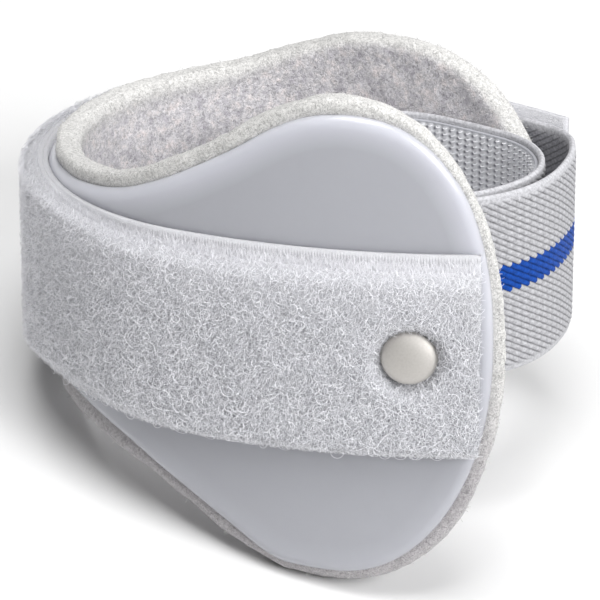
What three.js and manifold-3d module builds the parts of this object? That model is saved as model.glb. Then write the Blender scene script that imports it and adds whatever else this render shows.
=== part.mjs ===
// Elbow support: a C-shaped forearm clasp of moulded plastic, lined with felt, with a loop strap riveted
// round its outside and an elastic strap that closes its open side. Millimetres, +Z up.

import * as THREE from 'three';
import { mergeVertices } from 'three/addons/utils/BufferGeometryUtils.js';
import Module from 'manifold-3d';

// Plan of the clasp, seen along the forearm: the outer face of the loop strap's woven ground.
// The middle of the bend is at the origin, the front arm lies at -Y and the back arm at +Y.
const BEND_RADIUS = 44.8;
const BEND_REACH = 68.3;   // arc length from the bend's middle to where each arm starts
const ARM_RADIUS = 127.7;

// Layers of the wall. A height counts outward from the plan line.
const CLEARANCE = 0.3;
const STRAP_GROUND = 0.9;
const STRAP_PILE = 4.0;
const SHELL_THICK = 2.0;
const FELT_THICK = 4.2;
const ELASTIC_THICK = 1.4;
const HOOK_TAPE_THICK = 0.8;
const SHELL_FACE = -STRAP_GROUND - CLEARANCE;
const SHELL_BACK = SHELL_FACE - SHELL_THICK;
const FELT_FACE = SHELL_BACK - CLEARANCE;

// Outlines laid flat, as distances from the middle of the wall: the shell's upper and lower edge and the
// felt's lower edge, which is less waisted. The arc counts from the bend's middle, positive to the front.
const OUTLINE_ROWS = [
  { arc: -80, shellTop: 29.3, shellBottom: 29.3, feltBottom: 32.2 },
  { arc: -70, shellTop: 28.5, shellBottom: 28.5, feltBottom: 31.8 },
  { arc: -60, shellTop: 26.0, shellBottom: 26.0, feltBottom: 29.9 },
  { arc: -50, shellTop: 23.1, shellBottom: 23.1, feltBottom: 27.7 },
  { arc: -40, shellTop: 20.8, shellBottom: 20.8, feltBottom: 26.3 },
  { arc: -25, shellTop: 19.7, shellBottom: 19.7, feltBottom: 26.2 },
  { arc: 0, shellTop: 19.6, shellBottom: 19.6, feltBottom: 26.9 },
  { arc: 20, shellTop: 20.0, shellBottom: 19.8, feltBottom: 27.3 },
  { arc: 40, shellTop: 21.3, shellBottom: 20.4, feltBottom: 28.0 },
  { arc: 54, shellTop: 23.8, shellBottom: 23.2, feltBottom: 30.0 },
  { arc: 66, shellTop: 28.6, shellBottom: 29.1, feltBottom: 34.0 },
  { arc: 78, shellTop: 35.5, shellBottom: 37.3, feltBottom: 41.3 },
  { arc: 88, shellTop: 42.1, shellBottom: 43.7, feltBottom: 47.0 },
  { arc: 95, shellTop: 45.1, shellBottom: 45.4, feltBottom: 48.5 },
  { arc: 101, shellTop: 46.0, shellBottom: 46.0, feltBottom: 48.9 },
];
// Past the first and the last row each paddle ends in half an oval. A power of 2 makes it an ellipse, and
// more makes it squarer.
const BACK_END = { reach: 31.8, power: 2.07 };
const FRONT_END = { reach: 28.8, power: 2.2 };
const FELT_MARGIN = 2.9;   // the felt stands this far past the shell's upper edge and ends
const SHELL_DROP = 0.4;   // the wall's middle lies this far below the strap's

// Rounding of each edge, from the outer face to the inner one: depth below the face, as a share of the
// thickness, and how far the outline draws in there.
const SHELL_EDGE = [
  { share: 0.0, inset: 1.1 },
  { share: 0.18, inset: 0.35 },
  { share: 0.5, inset: 0.0 },
  { share: 0.82, inset: 0.25 },
  { share: 1.0, inset: 0.7 },
];
const FELT_EDGE = [
  { share: 0.0, inset: 0.9 },
  { share: 0.2, inset: 0.1 },
  { share: 0.5, inset: 0.0 },
  { share: 0.82, inset: 0.7 },
  { share: 1.0, inset: 2.2 },
];
const END_STEPS = 16;
const FLANK_STEPS = 64;

// Loop strap: its two cut ends, half its width, and the bare selvedge above the pile. Below, the pile
// hangs over the selvedge.
const STRAP_FRONT_END = 126.5;
const STRAP_BACK_END = -114;
const STRAP_HALF = 20;
const SELVEDGE = 1.8;
// Rounding of the pile's shoulders: height as a share of the pile, and how far they draw in there.
const PILE_SHOULDER = [
  { share: 0.0, inset: 0.0 },
  { share: 0.6, inset: 0.4 },
  { share: 1.0, inset: 1.2 },
];
const STRAP_STEPS = 110;
// Over the root of the elastic the loop strap rides up by the elastic's thickness.
const STRAP_LIFT = ELASTIC_THICK + CLEARANCE;
const LIFT_STARTS = -62;
const LIFT_ENDS = -83;

// Elastic strap: the route of its middle line in plan, a row for each run, turning towards the inside.
const ELASTIC_ROOT = -86;
const ELASTIC_LEAVES = -112.8;
const ELASTIC_HALF = 18.6;
const ELASTIC_DROP = 0.2;
const ELASTIC_BEVEL = 0.35;
const ELASTIC_RUNS = [
  { run: 'round the back paddle end', length: 9.5, turn: 56.5 },
  { run: 'across the open side', length: 14.8, turn: 15.5 },
  { run: 'behind the front paddle', length: 60, turn: 114.7 },
  { run: 'back across the inside', length: 68, turn: 165.3 },
  { run: 'along the back felt', length: 13.3, turn: 5.2 },
  { run: 'inner bend', length: 30, turn: 96 },
  { run: 'free end', length: 22, turn: 42 },
];
const ELASTIC_STEPS = 120;
const HOOK_TAPE_LENGTH = 92;
const HOOK_TAPE_HALF = 17.6;
const HOOK_TAPE_BEVEL = 0.2;
const HOOK_TAPE_STEPS = 48;

// Rivets: a domed head on the loop strap, a shank through the wall and a flat tail under the felt.
const RIVETS = [
  { name: 'rivet_front', arc: 114.6, lift: 0 },
  { name: 'rivet_back', arc: -98, lift: STRAP_LIFT },
];
const HEAD_RADIUS = 5.1;
const HEAD_RIM = 0.9;
const HEAD_HEIGHT = 3.0;
const SHANK_RADIUS = 1.9;
const TAIL_RADIUS = 3.6;
const TAIL_THICK = 0.8;
const RIVET_SIDES = 24;
const DOME_STEPS = 6;

// At rest the clasp lies on three spots of its lower edge: both paddles and the bend.
const LEAN_BACK = THREE.MathUtils.degToRad(7.71);
const LEAN_LEFT = THREE.MathUtils.degToRad(13.86);
const CLOTH_FLATTENED = 0.6;
const TABLE_SIZE = 400;

const WELD = 1e-4;   // corners closer than this are one corner

const wasm = await Module();
wasm.setup();

// A closed geometry with shared corners and its faces pointing out.
function closed(geometry) {
  geometry.deleteAttribute('normal');
  geometry.deleteAttribute('uv');
  const merged = mergeVertices(geometry, WELD);
  const index = merged.index.array;
  const kept = [];
  for (let i = 0; i < index.length; i += 3) {
    const [a, b, c] = [index[i], index[i + 1], index[i + 2]];
    if (a !== b && b !== c && c !== a) kept.push(a, b, c);
  }
  const at = (i) => new THREE.Vector3().fromBufferAttribute(merged.attributes.position, i);
  let volume = 0;
  for (let i = 0; i < kept.length; i += 3) {
    volume += at(kept[i]).dot(at(kept[i + 1]).cross(at(kept[i + 2])));
  }
  merged.setIndex(volume < 0 ? kept.reverse() : kept);
  return merged;
}

function solid(geometry) {
  const body = closed(geometry);
  return new wasm.Manifold(new wasm.Mesh({
    numProp: 3,
    vertProperties: new Float32Array(body.attributes.position.array),
    triVerts: new Uint32Array(body.index.array),
  }));
}

function geometryOf(manifold) {
  const mesh = manifold.getMesh();
  const geometry = new THREE.BufferGeometry();
  geometry.setAttribute('position', new THREE.BufferAttribute(mesh.vertProperties, mesh.numProp));
  geometry.setIndex(new THREE.BufferAttribute(mesh.triVerts, 1));
  return geometry;
}

function cut(geometry, tools) {
  const trimmed = tools.reduce((body, tool) => body.subtract(solid(tool)), solid(geometry));
  return geometryOf(trimmed);
}

// The wall at an arc length: its centre of curvature, its radius and its outward direction.
function wall(arc) {
  const side = arc < 0 ? 1 : -1;
  const reach = Math.abs(arc);
  const bendTurn = BEND_REACH / BEND_RADIUS;
  const outward = (turn) => new THREE.Vector2(-Math.cos(turn), side * Math.sin(turn));
  const bendCentre = new THREE.Vector2(BEND_RADIUS, 0);
  if (reach <= BEND_REACH) {
    return { centre: bendCentre, radius: BEND_RADIUS, out: outward(reach / BEND_RADIUS) };
  }
  const armCentre = bendCentre.addScaledVector(outward(bendTurn), BEND_RADIUS - ARM_RADIUS);
  const armTurn = (reach - BEND_REACH) / ARM_RADIUS;
  return { centre: armCentre, radius: ARM_RADIUS, out: outward(bendTurn + armTurn) };
}

function onWall(arc, height, z) {
  const { centre, radius, out } = wall(arc);
  const spot = centre.clone().addScaledVector(out, radius + height);
  return new THREE.Vector3(spot.x, spot.y, z);
}

// A quarter of an oval, from its widest place to its tip.
function paddleEnd({ reach, power }, margin, half) {
  return Array.from({ length: END_STEPS + 1 }, (unused, i) => {
    const angle = (Math.PI / 2) * (i / END_STEPS);
    const along = i === 0 ? 0 : Math.sin(angle) ** (2 / power);
    const across = i === END_STEPS ? 0 : Math.cos(angle) ** (2 / power);
    return new THREE.Vector2((reach + margin) * along, half * across);
  });
}

// One edge laid flat, from the back tip to the front tip, as points (arc, distance from the middle).
function edgeLine(column, margin) {
  const first = OUTLINE_ROWS[0];
  const last = OUTLINE_ROWS[OUTLINE_ROWS.length - 1];
  const flank = new THREE.SplineCurve(
    OUTLINE_ROWS.map((row) => new THREE.Vector2(row.arc, row[column])));
  const backEnd = paddleEnd(BACK_END, margin, first[column]);
  const frontEnd = paddleEnd(FRONT_END, margin, last[column]);
  return [
    ...backEnd.slice(1).reverse().map(({ x, y }) => new THREE.Vector2(first.arc - x, y)),
    ...flank.getSpacedPoints(FLANK_STEPS),
    ...frontEnd.slice(1).map(({ x, y }) => new THREE.Vector2(last.arc + x, y)),
  ];
}

// The same edge moved out by a margin, square to itself.
function moved(outline, margin) {
  const last = outline.length - 1;
  return outline.map((point, i) => {
    if (i === 0) return new THREE.Vector2(point.x - margin, 0);
    if (i === last) return new THREE.Vector2(point.x + margin, 0);
    const along = outline[i + 1].clone().sub(outline[i - 1]).normalize();
    return new THREE.Vector2(point.x - along.y * margin, point.y + along.x * margin);
  });
}

// A pad bent round the forearm, from its upper edge to its lower one, with rounded edges.
function bentPad(top, bottom, face, thick, edge) {
  const positions = [];
  const index = [];
  const columns = top.length;
  for (const { share, inset } of edge) {
    for (const [line, sign] of [[top, 1], [bottom, -1]]) {
      for (const point of moved(line, -inset)) {
        const z = sign * point.y - SHELL_DROP;
        positions.push(...onWall(point.x, face - share * thick, z).toArray());
      }
    }
  }
  const corner = (layer, below, column) => (layer * 2 + below) * columns + column;
  const quad = (a, b, c, d) => index.push(a, b, c, a, c, d);
  const inner = edge.length - 1;
  for (let i = 0; i < columns - 1; i += 1) {
    const j = i + 1;
    quad(corner(0, 0, i), corner(0, 1, i), corner(0, 1, j), corner(0, 0, j));
    quad(corner(inner, 0, j), corner(inner, 1, j), corner(inner, 1, i), corner(inner, 0, i));
    for (let layer = 0; layer < inner; layer += 1) {
      quad(corner(layer, 0, i), corner(layer, 0, j), corner(layer + 1, 0, j), corner(layer + 1, 0, i));
      quad(corner(layer, 1, j), corner(layer, 1, i), corner(layer + 1, 1, i), corner(layer + 1, 1, j));
    }
  }
  const geometry = new THREE.BufferGeometry();
  geometry.setAttribute('position', new THREE.Float32BufferAttribute(positions, 3));
  geometry.setIndex(index);
  return closed(geometry);
}

// A band swept along a level route. Its section has x down the width and y to the left of the route.
function band(section, route, steps) {
  const shape = new THREE.Shape(section.map(([down, left]) => new THREE.Vector2(down, left)));
  return closed(new THREE.ExtrudeGeometry(shape, { extrudePath: route, steps, bevelEnabled: false }));
}

// The loop strap's line on the outside of the shell, from the front end to the back end.
class StrapLine extends THREE.Curve {
  getPoint(t, target = new THREE.Vector3()) {
    const arc = THREE.MathUtils.lerp(STRAP_FRONT_END, STRAP_BACK_END, t);
    const lift = STRAP_LIFT * (1 - THREE.MathUtils.smoothstep(arc, LIFT_ENDS, LIFT_STARTS));
    return target.copy(onWall(arc, lift, 0));
  }
}

// The elastic's middle line: arcs laid end to end, each with its own length and turn.
class ElasticLine extends THREE.Curve {
  constructor(from = 0) {
    super();
    const { out } = wall(ELASTIC_ROOT);
    const rooted = ELASTIC_ROOT - ELASTIC_LEAVES;
    const onPaddle = { length: rooted, turn: THREE.MathUtils.radToDeg(rooted / ARM_RADIUS) };
    const height = SHELL_FACE + CLEARANCE + ELASTIC_THICK / 2;
    let start = onWall(ELASTIC_ROOT, height, 0);
    let heading = Math.atan2(-out.x, out.y);
    this.from = from;
    this.length = 0;
    this.pieces = [onPaddle, ...ELASTIC_RUNS].map(({ length, turn }) => {
      const piece = { start, heading, length, turn: THREE.MathUtils.degToRad(turn), at: this.length };
      start = ElasticLine.along(piece, length);
      heading -= piece.turn;
      this.length += length;
      return piece;
    });
  }

  static along({ start, heading, length, turn }, distance) {
    const turned = turn * distance / length;
    const radius = length / turn;
    return new THREE.Vector3(
      start.x + radius * (Math.sin(heading) - Math.sin(heading - turned)),
      start.y - radius * (Math.cos(heading) - Math.cos(heading - turned)),
      -ELASTIC_DROP);
  }

  getPoint(t, target = new THREE.Vector3()) {
    const distance = THREE.MathUtils.lerp(this.from, this.length, t);
    const piece = this.pieces.findLast(({ at }) => at <= distance);
    return target.copy(ElasticLine.along(piece, distance - piece.at));
  }
}

// Puts a geometry made along Y on the wall, with Y pointing out of it.
function squareToWall(geometry, arc) {
  const { out } = wall(arc);
  geometry.rotateZ(Math.atan2(out.y, out.x) - Math.PI / 2);
  const foot = onWall(arc, 0, 0);
  return geometry.translate(foot.x, foot.y, foot.z);
}

function drill(arc, radius, from, to) {
  const tool = new THREE.CylinderGeometry(radius, radius, to - from, RIVET_SIDES);
  tool.translate(0, (from + to) / 2, 0);
  return squareToWall(tool, arc);
}

function rivet({ arc, lift }) {
  const under = CLEARANCE + lift;
  const tailTop = SHELL_BACK - CLEARANCE;
  const profile = [
    [0, tailTop - TAIL_THICK],
    [TAIL_RADIUS, tailTop - TAIL_THICK],
    [TAIL_RADIUS, tailTop],
    [SHANK_RADIUS, tailTop],
    [SHANK_RADIUS, under],
    [HEAD_RADIUS, under],
  ];
  for (let i = 0; i <= DOME_STEPS; i += 1) {
    const angle = (Math.PI / 2) * (i / DOME_STEPS);
    const crown = HEAD_RIM + (HEAD_HEIGHT - HEAD_RIM) * Math.sin(angle);
    profile.push([HEAD_RADIUS * Math.cos(angle), under + crown]);
  }
  profile[profile.length - 1][0] = 0;
  const points = profile.map(([radius, height]) => new THREE.Vector2(radius, height));
  return closed(squareToWall(new THREE.LatheGeometry(points, RIVET_SIDES), arc));
}

// What each rivet needs cut out of the layers that it passes through.
const shankHoles = RIVETS.map(({ arc }) =>
  drill(arc, SHANK_RADIUS + CLEARANCE, FELT_FACE, STRAP_LIFT + CLEARANCE));
const headSeats = RIVETS.map(({ arc, lift }) =>
  drill(arc, HEAD_RADIUS + CLEARANCE, lift, lift + STRAP_PILE + CLEARANCE));
const tailPockets = RIVETS.map(({ arc }) =>
  drill(arc, TAIL_RADIUS + CLEARANCE, FELT_FACE - TAIL_THICK - CLEARANCE, FELT_FACE + CLEARANCE));

const shellTop = edgeLine('shellTop', 0);
const shellBottom = edgeLine('shellBottom', 0);
const feltTop = moved(shellTop, FELT_MARGIN);
const feltBottom = edgeLine('feltBottom', FELT_MARGIN);
const shell = cut(bentPad(shellTop, shellBottom, SHELL_FACE, SHELL_THICK, SHELL_EDGE), shankHoles);
const feltBlank = cut(bentPad(feltTop, feltBottom, FELT_FACE, FELT_THICK, FELT_EDGE), tailPockets);

// The strap runs from front to back with the clasp's inside to its right.
const pileTop = STRAP_HALF - SELVEDGE;
const lowerShoulder = PILE_SHOULDER.map(({ share, inset }) => [STRAP_HALF - inset, STRAP_PILE * share]);
const upperShoulder = PILE_SHOULDER.map(({ share, inset }) => [inset - pileTop, STRAP_PILE * share]);
const strapSection = [
  [-STRAP_HALF, -STRAP_GROUND],
  [STRAP_HALF, -STRAP_GROUND],
  ...lowerShoulder,
  ...upperShoulder.reverse(),
  [-STRAP_HALF, 0],
];
const strapBlank = cut(band(strapSection, new StrapLine(), STRAP_STEPS), [...headSeats, ...shankHoles]);

function stripSection(half, from, to, bevel) {
  return [
    [-half, from + bevel],
    [-half + bevel, from],
    [half - bevel, from],
    [half, from + bevel],
    [half, to - bevel],
    [half - bevel, to],
    [-half + bevel, to],
    [-half, to - bevel],
  ];
}

const elasticLine = new ElasticLine();
const elasticSection = stripSection(ELASTIC_HALF, -ELASTIC_THICK / 2, ELASTIC_THICK / 2, ELASTIC_BEVEL);
const elastic = cut(band(elasticSection, elasticLine, ELASTIC_STEPS), shankHoles);
const hookFace = -ELASTIC_THICK / 2 - CLEARANCE;
const hookLine = new ElasticLine(elasticLine.length - HOOK_TAPE_LENGTH);
const hookSection = stripSection(HOOK_TAPE_HALF, hookFace - HOOK_TAPE_THICK, hookFace, HOOK_TAPE_BEVEL);
const hookTape = band(hookSection, hookLine, HOOK_TAPE_STEPS);

// The clasp leans on the table until its lower edge meets it at three spots. The cloth there lies flat.
const clasp = new THREE.Group();
clasp.rotation.set(-LEAN_BACK, -LEAN_LEFT, 0);
clasp.updateMatrix();
const settled = feltBlank.clone().applyMatrix4(clasp.matrix);
settled.computeBoundingBox();
const tableTop = settled.boundingBox.min.z + CLOTH_FLATTENED;
const table = new THREE.BoxGeometry(TABLE_SIZE, TABLE_SIZE, TABLE_SIZE);
table.translate(0, 0, tableTop - TABLE_SIZE / 2);
table.applyMatrix4(clasp.matrix.clone().invert());
const felt = cut(feltBlank, [table]);
const loopStrap = cut(strapBlank, [table]);

function piece(name, geometry, color, roughness, metalness) {
  const flat = geometry.toNonIndexed();
  flat.computeVertexNormals();
  const mesh = new THREE.Mesh(flat, new THREE.MeshStandardMaterial({ color, roughness, metalness }));
  mesh.name = name;
  return mesh;
}

clasp.add(
  piece('shell', shell, 0xc3c8d1, 0.4, 0),
  piece('felt_lining', felt, 0xdad9d7, 0.95, 0),
  piece('loop_strap', loopStrap, 0xd6d6d9, 0.9, 0),
  piece('elastic_strap', elastic, 0xc8cacd, 0.8, 0),
  piece('hook_tape', hookTape, 0xb4b6ba, 0.6, 0),
  ...RIVETS.map((place) => piece(place.name, rivet(place), 0xbdb8ae, 0.35, 0.6)),
);

// The part's origin is under the middle of the whole clasp, on the table.
const elbowSupport = new THREE.Group();
elbowSupport.add(clasp);
const room = new THREE.Box3().setFromObject(elbowSupport, true);
const middle = room.getCenter(new THREE.Vector3());
clasp.position.set(-middle.x, -middle.y, -tableTop);

export default elbowSupport;
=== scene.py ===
# %% [markdown]
# # Elbow support
# A C-shaped clasp that is worn just below the elbow: a springy plastic shell with a felt lining, a strap of
# loop tape riveted round its outside, and a ribbed elastic that closes the open side. The imported model is
# loaded first. It gives the size and the place of every piece.

# %% Load the frame
import math

import bpy
import numpy as np
from mathutils import Matrix


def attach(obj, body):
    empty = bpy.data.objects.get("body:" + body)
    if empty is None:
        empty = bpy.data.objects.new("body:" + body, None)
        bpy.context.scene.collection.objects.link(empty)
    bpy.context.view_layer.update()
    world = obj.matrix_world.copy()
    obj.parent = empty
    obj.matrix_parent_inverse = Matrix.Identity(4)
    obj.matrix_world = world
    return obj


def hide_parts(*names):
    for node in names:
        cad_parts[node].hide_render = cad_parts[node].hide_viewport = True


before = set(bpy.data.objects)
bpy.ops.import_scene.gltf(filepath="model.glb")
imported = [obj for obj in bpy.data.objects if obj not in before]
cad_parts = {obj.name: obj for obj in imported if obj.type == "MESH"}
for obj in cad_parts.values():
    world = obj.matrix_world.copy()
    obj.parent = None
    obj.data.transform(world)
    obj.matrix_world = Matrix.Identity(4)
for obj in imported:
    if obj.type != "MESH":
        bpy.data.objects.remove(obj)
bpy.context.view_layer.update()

print("nodes:", ", ".join(sorted(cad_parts)))

# %% [markdown]
# ## The clasp's own frame
# The real clasp lies on three spots of its lower edge, so it leans a little. It is far easier to shape it
# upright, with the forearm along Z, and to lean it at the end. One function does that for every piece.

# %% Upright millimetres to the leaning model
MM = 0.001
LEAN_BACK = math.radians(7.71)
LEAN_LEFT = math.radians(13.86)
PLACE = np.array((-47.634, -2.257, 25.379))
lean = np.array(Matrix.Rotation(-LEAN_BACK, 3, "X") @ Matrix.Rotation(-LEAN_LEFT, 3, "Y"))


def to_row(points):
    """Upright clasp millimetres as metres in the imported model's frame."""
    return (np.asarray(points, float) @ lean.T + PLACE) * MM


print("the bend's middle stands at", to_row((0, 0, 0)).round(4))

# %% [markdown]
# ## Camera
# The photograph was taken from well above the front paddle with a long lens. The camera was fitted to the
# two edges of the strap, whose width is known, so its place is given in the clasp's upright frame.

# %% Set the camera
CAMERA_YAW = math.radians(23.299)
CAMERA_RISE = math.radians(22.899)
CAMERA_SPOT = (365.847, -733.577, 327.275)
LENS = 267.47
camera_right = np.array((math.cos(CAMERA_YAW), math.sin(CAMERA_YAW), 0))
camera_back = np.array((
    math.sin(CAMERA_YAW) * math.cos(CAMERA_RISE),
    -math.cos(CAMERA_YAW) * math.cos(CAMERA_RISE),
    math.sin(CAMERA_RISE)))
camera_up = np.cross(camera_back, camera_right)

camera = bpy.data.objects.new("camera", bpy.data.cameras.new("camera"))
camera.data.lens = LENS
camera_axes = lean @ np.stack([camera_right, camera_up, camera_back], -1)
camera.matrix_world = Matrix.Translation(to_row(CAMERA_SPOT)) @ Matrix(camera_axes).to_4x4()
bpy.context.scene.collection.objects.link(camera)
bpy.context.scene.camera = camera
print("camera stands at", to_row(CAMERA_SPOT).round(3))

# %% [markdown]
# ## Floor and light
# A product photograph like this one is taken on white paper under big soft boxes. One at the right gives the
# broad shade from right to left, one overhead gives the bright line along the upper rims, a lit panel behind
# is mirrored flatly in their tops, and a white world fills the shadows. Three small helpers come first, for
# this and for every finish below: they turn a colour code to linear light, add a shader node and start a
# material.

# %% Colours, nodes and materials


def linear(code):
    """An sRGB hex colour as linear red, green, blue and alpha."""
    parts = [int(code[i:i + 2], 16) / 255 for i in (1, 3, 5)]
    return tuple(c / 12.92 if c <= 0.04045 else ((c + 0.055) / 1.055) ** 2.4 for c in parts) + (1.0,)


def add_node(tree, kind, links=(), values=(), **settings):
    """One shader node, with its settings, its socket values and the sockets that feed it."""
    node = tree.nodes.new("ShaderNode" + kind)
    for key, value in settings.items():
        setattr(node, key, value)
    for socket, value in dict(values).items():
        node.inputs[socket].default_value = value
    for socket, source in dict(links).items():
        tree.links.new(source, node.inputs[socket])
    return node


def start_material(name, **values):
    """A material with its tree and its shader, whose sockets get the values."""
    material = bpy.data.materials.new(name)
    material.use_nodes = True
    shader = material.node_tree.nodes["Principled BSDF"]
    for socket, value in values.items():
        shader.inputs[socket.replace("_", " ")].default_value = value
    return material, material.node_tree, shader


print("half way up the colour codes is", round(linear("#808080")[0], 3), "of full light")

# %% Paper
FLOOR_SIZE = 6.0
FLOOR_DROP = 0.0002   # a hair below the clasp, so that the two don't share a plane
paper = start_material("white_paper", Base_Color=linear("#dcdcdc"), Roughness=0.9)[0]
floor_mesh = bpy.data.meshes.new("paper_sweep")
reach = FLOOR_SIZE / 2
floor_mesh.from_pydata(
    [(-reach, -reach, -FLOOR_DROP), (reach, -reach, -FLOOR_DROP), (reach, reach, -FLOOR_DROP),
     (-reach, reach, -FLOOR_DROP)], [], [(0, 1, 2, 3)])
floor_mesh.materials.append(paper)
floor = bpy.data.objects.new("paper_sweep", floor_mesh)
bpy.context.scene.collection.objects.link(floor)
print("paper", FLOOR_SIZE, "m wide")

# %% Lamps and world
LAMPS = {   # place, size and watts
    "side_soft_box": ((0.85, -0.24, 0.74), 0.6, 11.5),
    "top_soft_box": ((-0.15, -0.22, 1.2), 0.65, 13.0),
    "back_panel": ((0.1, 1.3, 0.5), 1.6, 5.5)}
WORLD_LIGHT = 0.25
for lamp_name, (spot, size, watts) in LAMPS.items():
    lamp = bpy.data.objects.new(lamp_name, bpy.data.lights.new(lamp_name, "AREA"))
    lamp.data.size = size
    lamp.data.energy = watts
    lamp.location = spot
    lamp.rotation_euler = (-lamp.location).to_track_quat("-Z", "Y").to_euler()
    bpy.context.scene.collection.objects.link(lamp)

world = bpy.data.worlds.new("white_room")
world.use_nodes = True
world.node_tree.nodes["Background"].inputs["Strength"].default_value = WORLD_LIGHT
world.node_tree.nodes["Background"].inputs["Color"].default_value = linear("#ffffff")
bpy.context.scene.world = world
bpy.context.scene.view_settings.view_transform = "Standard"
print(len(LAMPS), "lamps of", sum(watts for spot, size, watts in LAMPS.values()), "watts in all")

# %% [markdown]
# ## The wall that every layer follows
# Seen along the forearm, the clasp is a round bend with two flatter arms. Shell, felt and strap are layers of
# that wall, so a spot on any of them is an arc length along it, a height out of it and a Z. The same radii
# as in the solids keep each piece exactly where its solid is.

# %% Spots on the wall
BEND_RADIUS = 44.8
BEND_REACH = 68.3
ARM_RADIUS = 127.7


def wall(arc):
    """Centre of curvature, radius and outward direction of the wall at arc lengths."""
    side = np.where(arc < 0, 1.0, -1.0)
    along = np.abs(arc)
    bend_turn = BEND_REACH / BEND_RADIUS
    bent = along <= BEND_REACH
    turn = np.where(bent, along / BEND_RADIUS, bend_turn + (along - BEND_REACH) / ARM_RADIUS)
    out = np.stack([-np.cos(turn), side * np.sin(turn)], -1)
    arm_out = np.stack([np.full(arc.shape, -math.cos(bend_turn)), side * math.sin(bend_turn)], -1)
    shift = np.where(bent, 0.0, BEND_RADIUS - ARM_RADIUS)
    centre = np.array((BEND_RADIUS, 0.0)) + shift[..., None] * arm_out
    return centre, np.where(bent, BEND_RADIUS, ARM_RADIUS), out


def on_wall(arc, height, z):
    """Upright millimetres of spots at an arc length, a height out of the wall and a level."""
    arc, height, z = np.broadcast_arrays(*(np.asarray(value, float) for value in (arc, height, z)))
    centre, radius, out = wall(arc)
    return np.concatenate([centre + out * (radius + height)[..., None], z[..., None]], -1)


ARM_MIDDLE = 90.0
print("width at the arms' middle", round(-2 * float(on_wall(ARM_MIDDLE, 0, 0)[1]), 1), "mm")

# %% [markdown]
# ## From numbers to a mesh
# Each piece is worked out as arrays of spots and corners, because that is exact and quick. This step turns
# them into a Blender mesh, points its faces outwards, keeps any measure that a material needs, and hides the
# solids that the piece stands for.

# %% Mesh maker
triangles_made = {}


def face_square(points, faces):
    """Twice each face's area, as a vector square to the face."""
    corners = points[faces]
    return np.cross(corners[:, 2] - corners[:, 0], corners[:, -1] - corners[:, 1])


def outward(points, face_sets):
    """The face sets, turned round if they enclose their volume inside out."""
    volume = sum((points[faces].mean(1) * face_square(points, faces)).sum() for faces in face_sets)
    return [faces if volume > 0 else faces[:, ::-1] for faces in face_sets]


def ring_walls(index):
    """Faces between each ring of point numbers and the next ring."""
    after = np.roll(index, -1, -1)
    near = index[..., :-1, :], after[..., :-1, :]
    far = after[..., 1:, :], index[..., 1:, :]
    return np.stack(near + far, -1).reshape(-1, 4)


def make_piece(name, points, face_sets, material, slot, stands_for=(), lowest=None, **measures):
    """A smooth piece from upright millimetres, riding on the clasp, with measures for its material."""
    grid = points.shape[:-1]
    points = points.reshape(-1, 3)
    face_sets = outward(points, [faces for faces in face_sets if len(faces)])
    spots = to_row(points)
    if lowest is not None:
        spots[:, 2] = np.maximum(spots[:, 2], lowest)
    sizes = np.concatenate([np.full(len(faces), faces.shape[1]) for faces in face_sets])
    corners = np.concatenate([faces.ravel() for faces in face_sets])
    mesh = bpy.data.meshes.new(name)
    mesh.vertices.add(len(spots))
    mesh.vertices.foreach_set("co", spots.astype(np.float32).ravel())
    mesh.loops.add(len(corners))
    mesh.loops.foreach_set("vertex_index", corners.astype(np.int32))
    mesh.polygons.add(len(sizes))
    mesh.polygons.foreach_set("loop_start", (np.cumsum(sizes) - sizes).astype(np.int32))
    mesh.update(calc_edges=True)
    mended = mesh.validate()
    mesh.shade_smooth()
    for measure, values in measures.items():
        stored = mesh.attributes.new(measure, "FLOAT", "POINT")
        stored.data.foreach_set("value", np.broadcast_to(values, grid).astype(np.float32).ravel())
    mesh.materials.append(material)
    piece = bpy.data.objects.new(name, mesh)
    bpy.context.scene.collection.objects.link(piece)
    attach(piece, "root")
    if stands_for:
        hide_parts(*stands_for)
    triangles_made[name] = int((sizes - 2).sum())
    print(name, triangles_made[name], "triangles", "mended" if mended else "")
    return piece


# %% [markdown]
# ## Outlines of the two paddles
# Laid flat, the shell is a narrow waist between a small back paddle and a large front one. A few measured
# half heights with a smooth curve through them give the flanks, and half an oval closes each end. Points at
# even spacing along that line give even faces later.

# %% Outline rows
# Columns: arc from the bend's middle, shell's upper edge, shell's lower edge, felt's lower edge.
OUTLINE = np.array([
    (-80, 29.3, 29.3, 32.2), (-70, 28.5, 28.5, 31.8), (-60, 26.0, 26.0, 29.9), (-50, 23.4, 23.1, 27.7),
    (-40, 21.5, 20.8, 26.3), (-25, 20.8, 19.7, 26.2), (0, 20.8, 19.6, 26.9), (20, 21.2, 20.2, 26.7),
    (40, 22.5, 21.3, 27.5), (54, 24.9, 24.3, 30.0), (66, 29.4, 29.9, 34.5), (78, 35.8, 37.3, 41.7),
    (88, 42.1, 43.8, 46.8), (95, 45.1, 45.2, 48.2), (101, 46.0, 45.5, 48.5)])
SHELL_TOP, SHELL_BOTTOM, FELT_BOTTOM = 1, 2, 3
BACK_END = (31.8, 2.07)   # reach past the first row, and how square the oval is
SHELL_TIP = 29.2
SHELL_UPPER_END = (SHELL_TIP, 2.36)
SHELL_LOWER_END = (SHELL_TIP, 2.06)
FELT_UPPER_END = (28.8, 2.1)
FELT_LOWER_END = (28.8, 2.2)
FELT_MARGIN = 2.9
WALL_DROP = 0.4   # the wall's middle lies this far below the strap's


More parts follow.
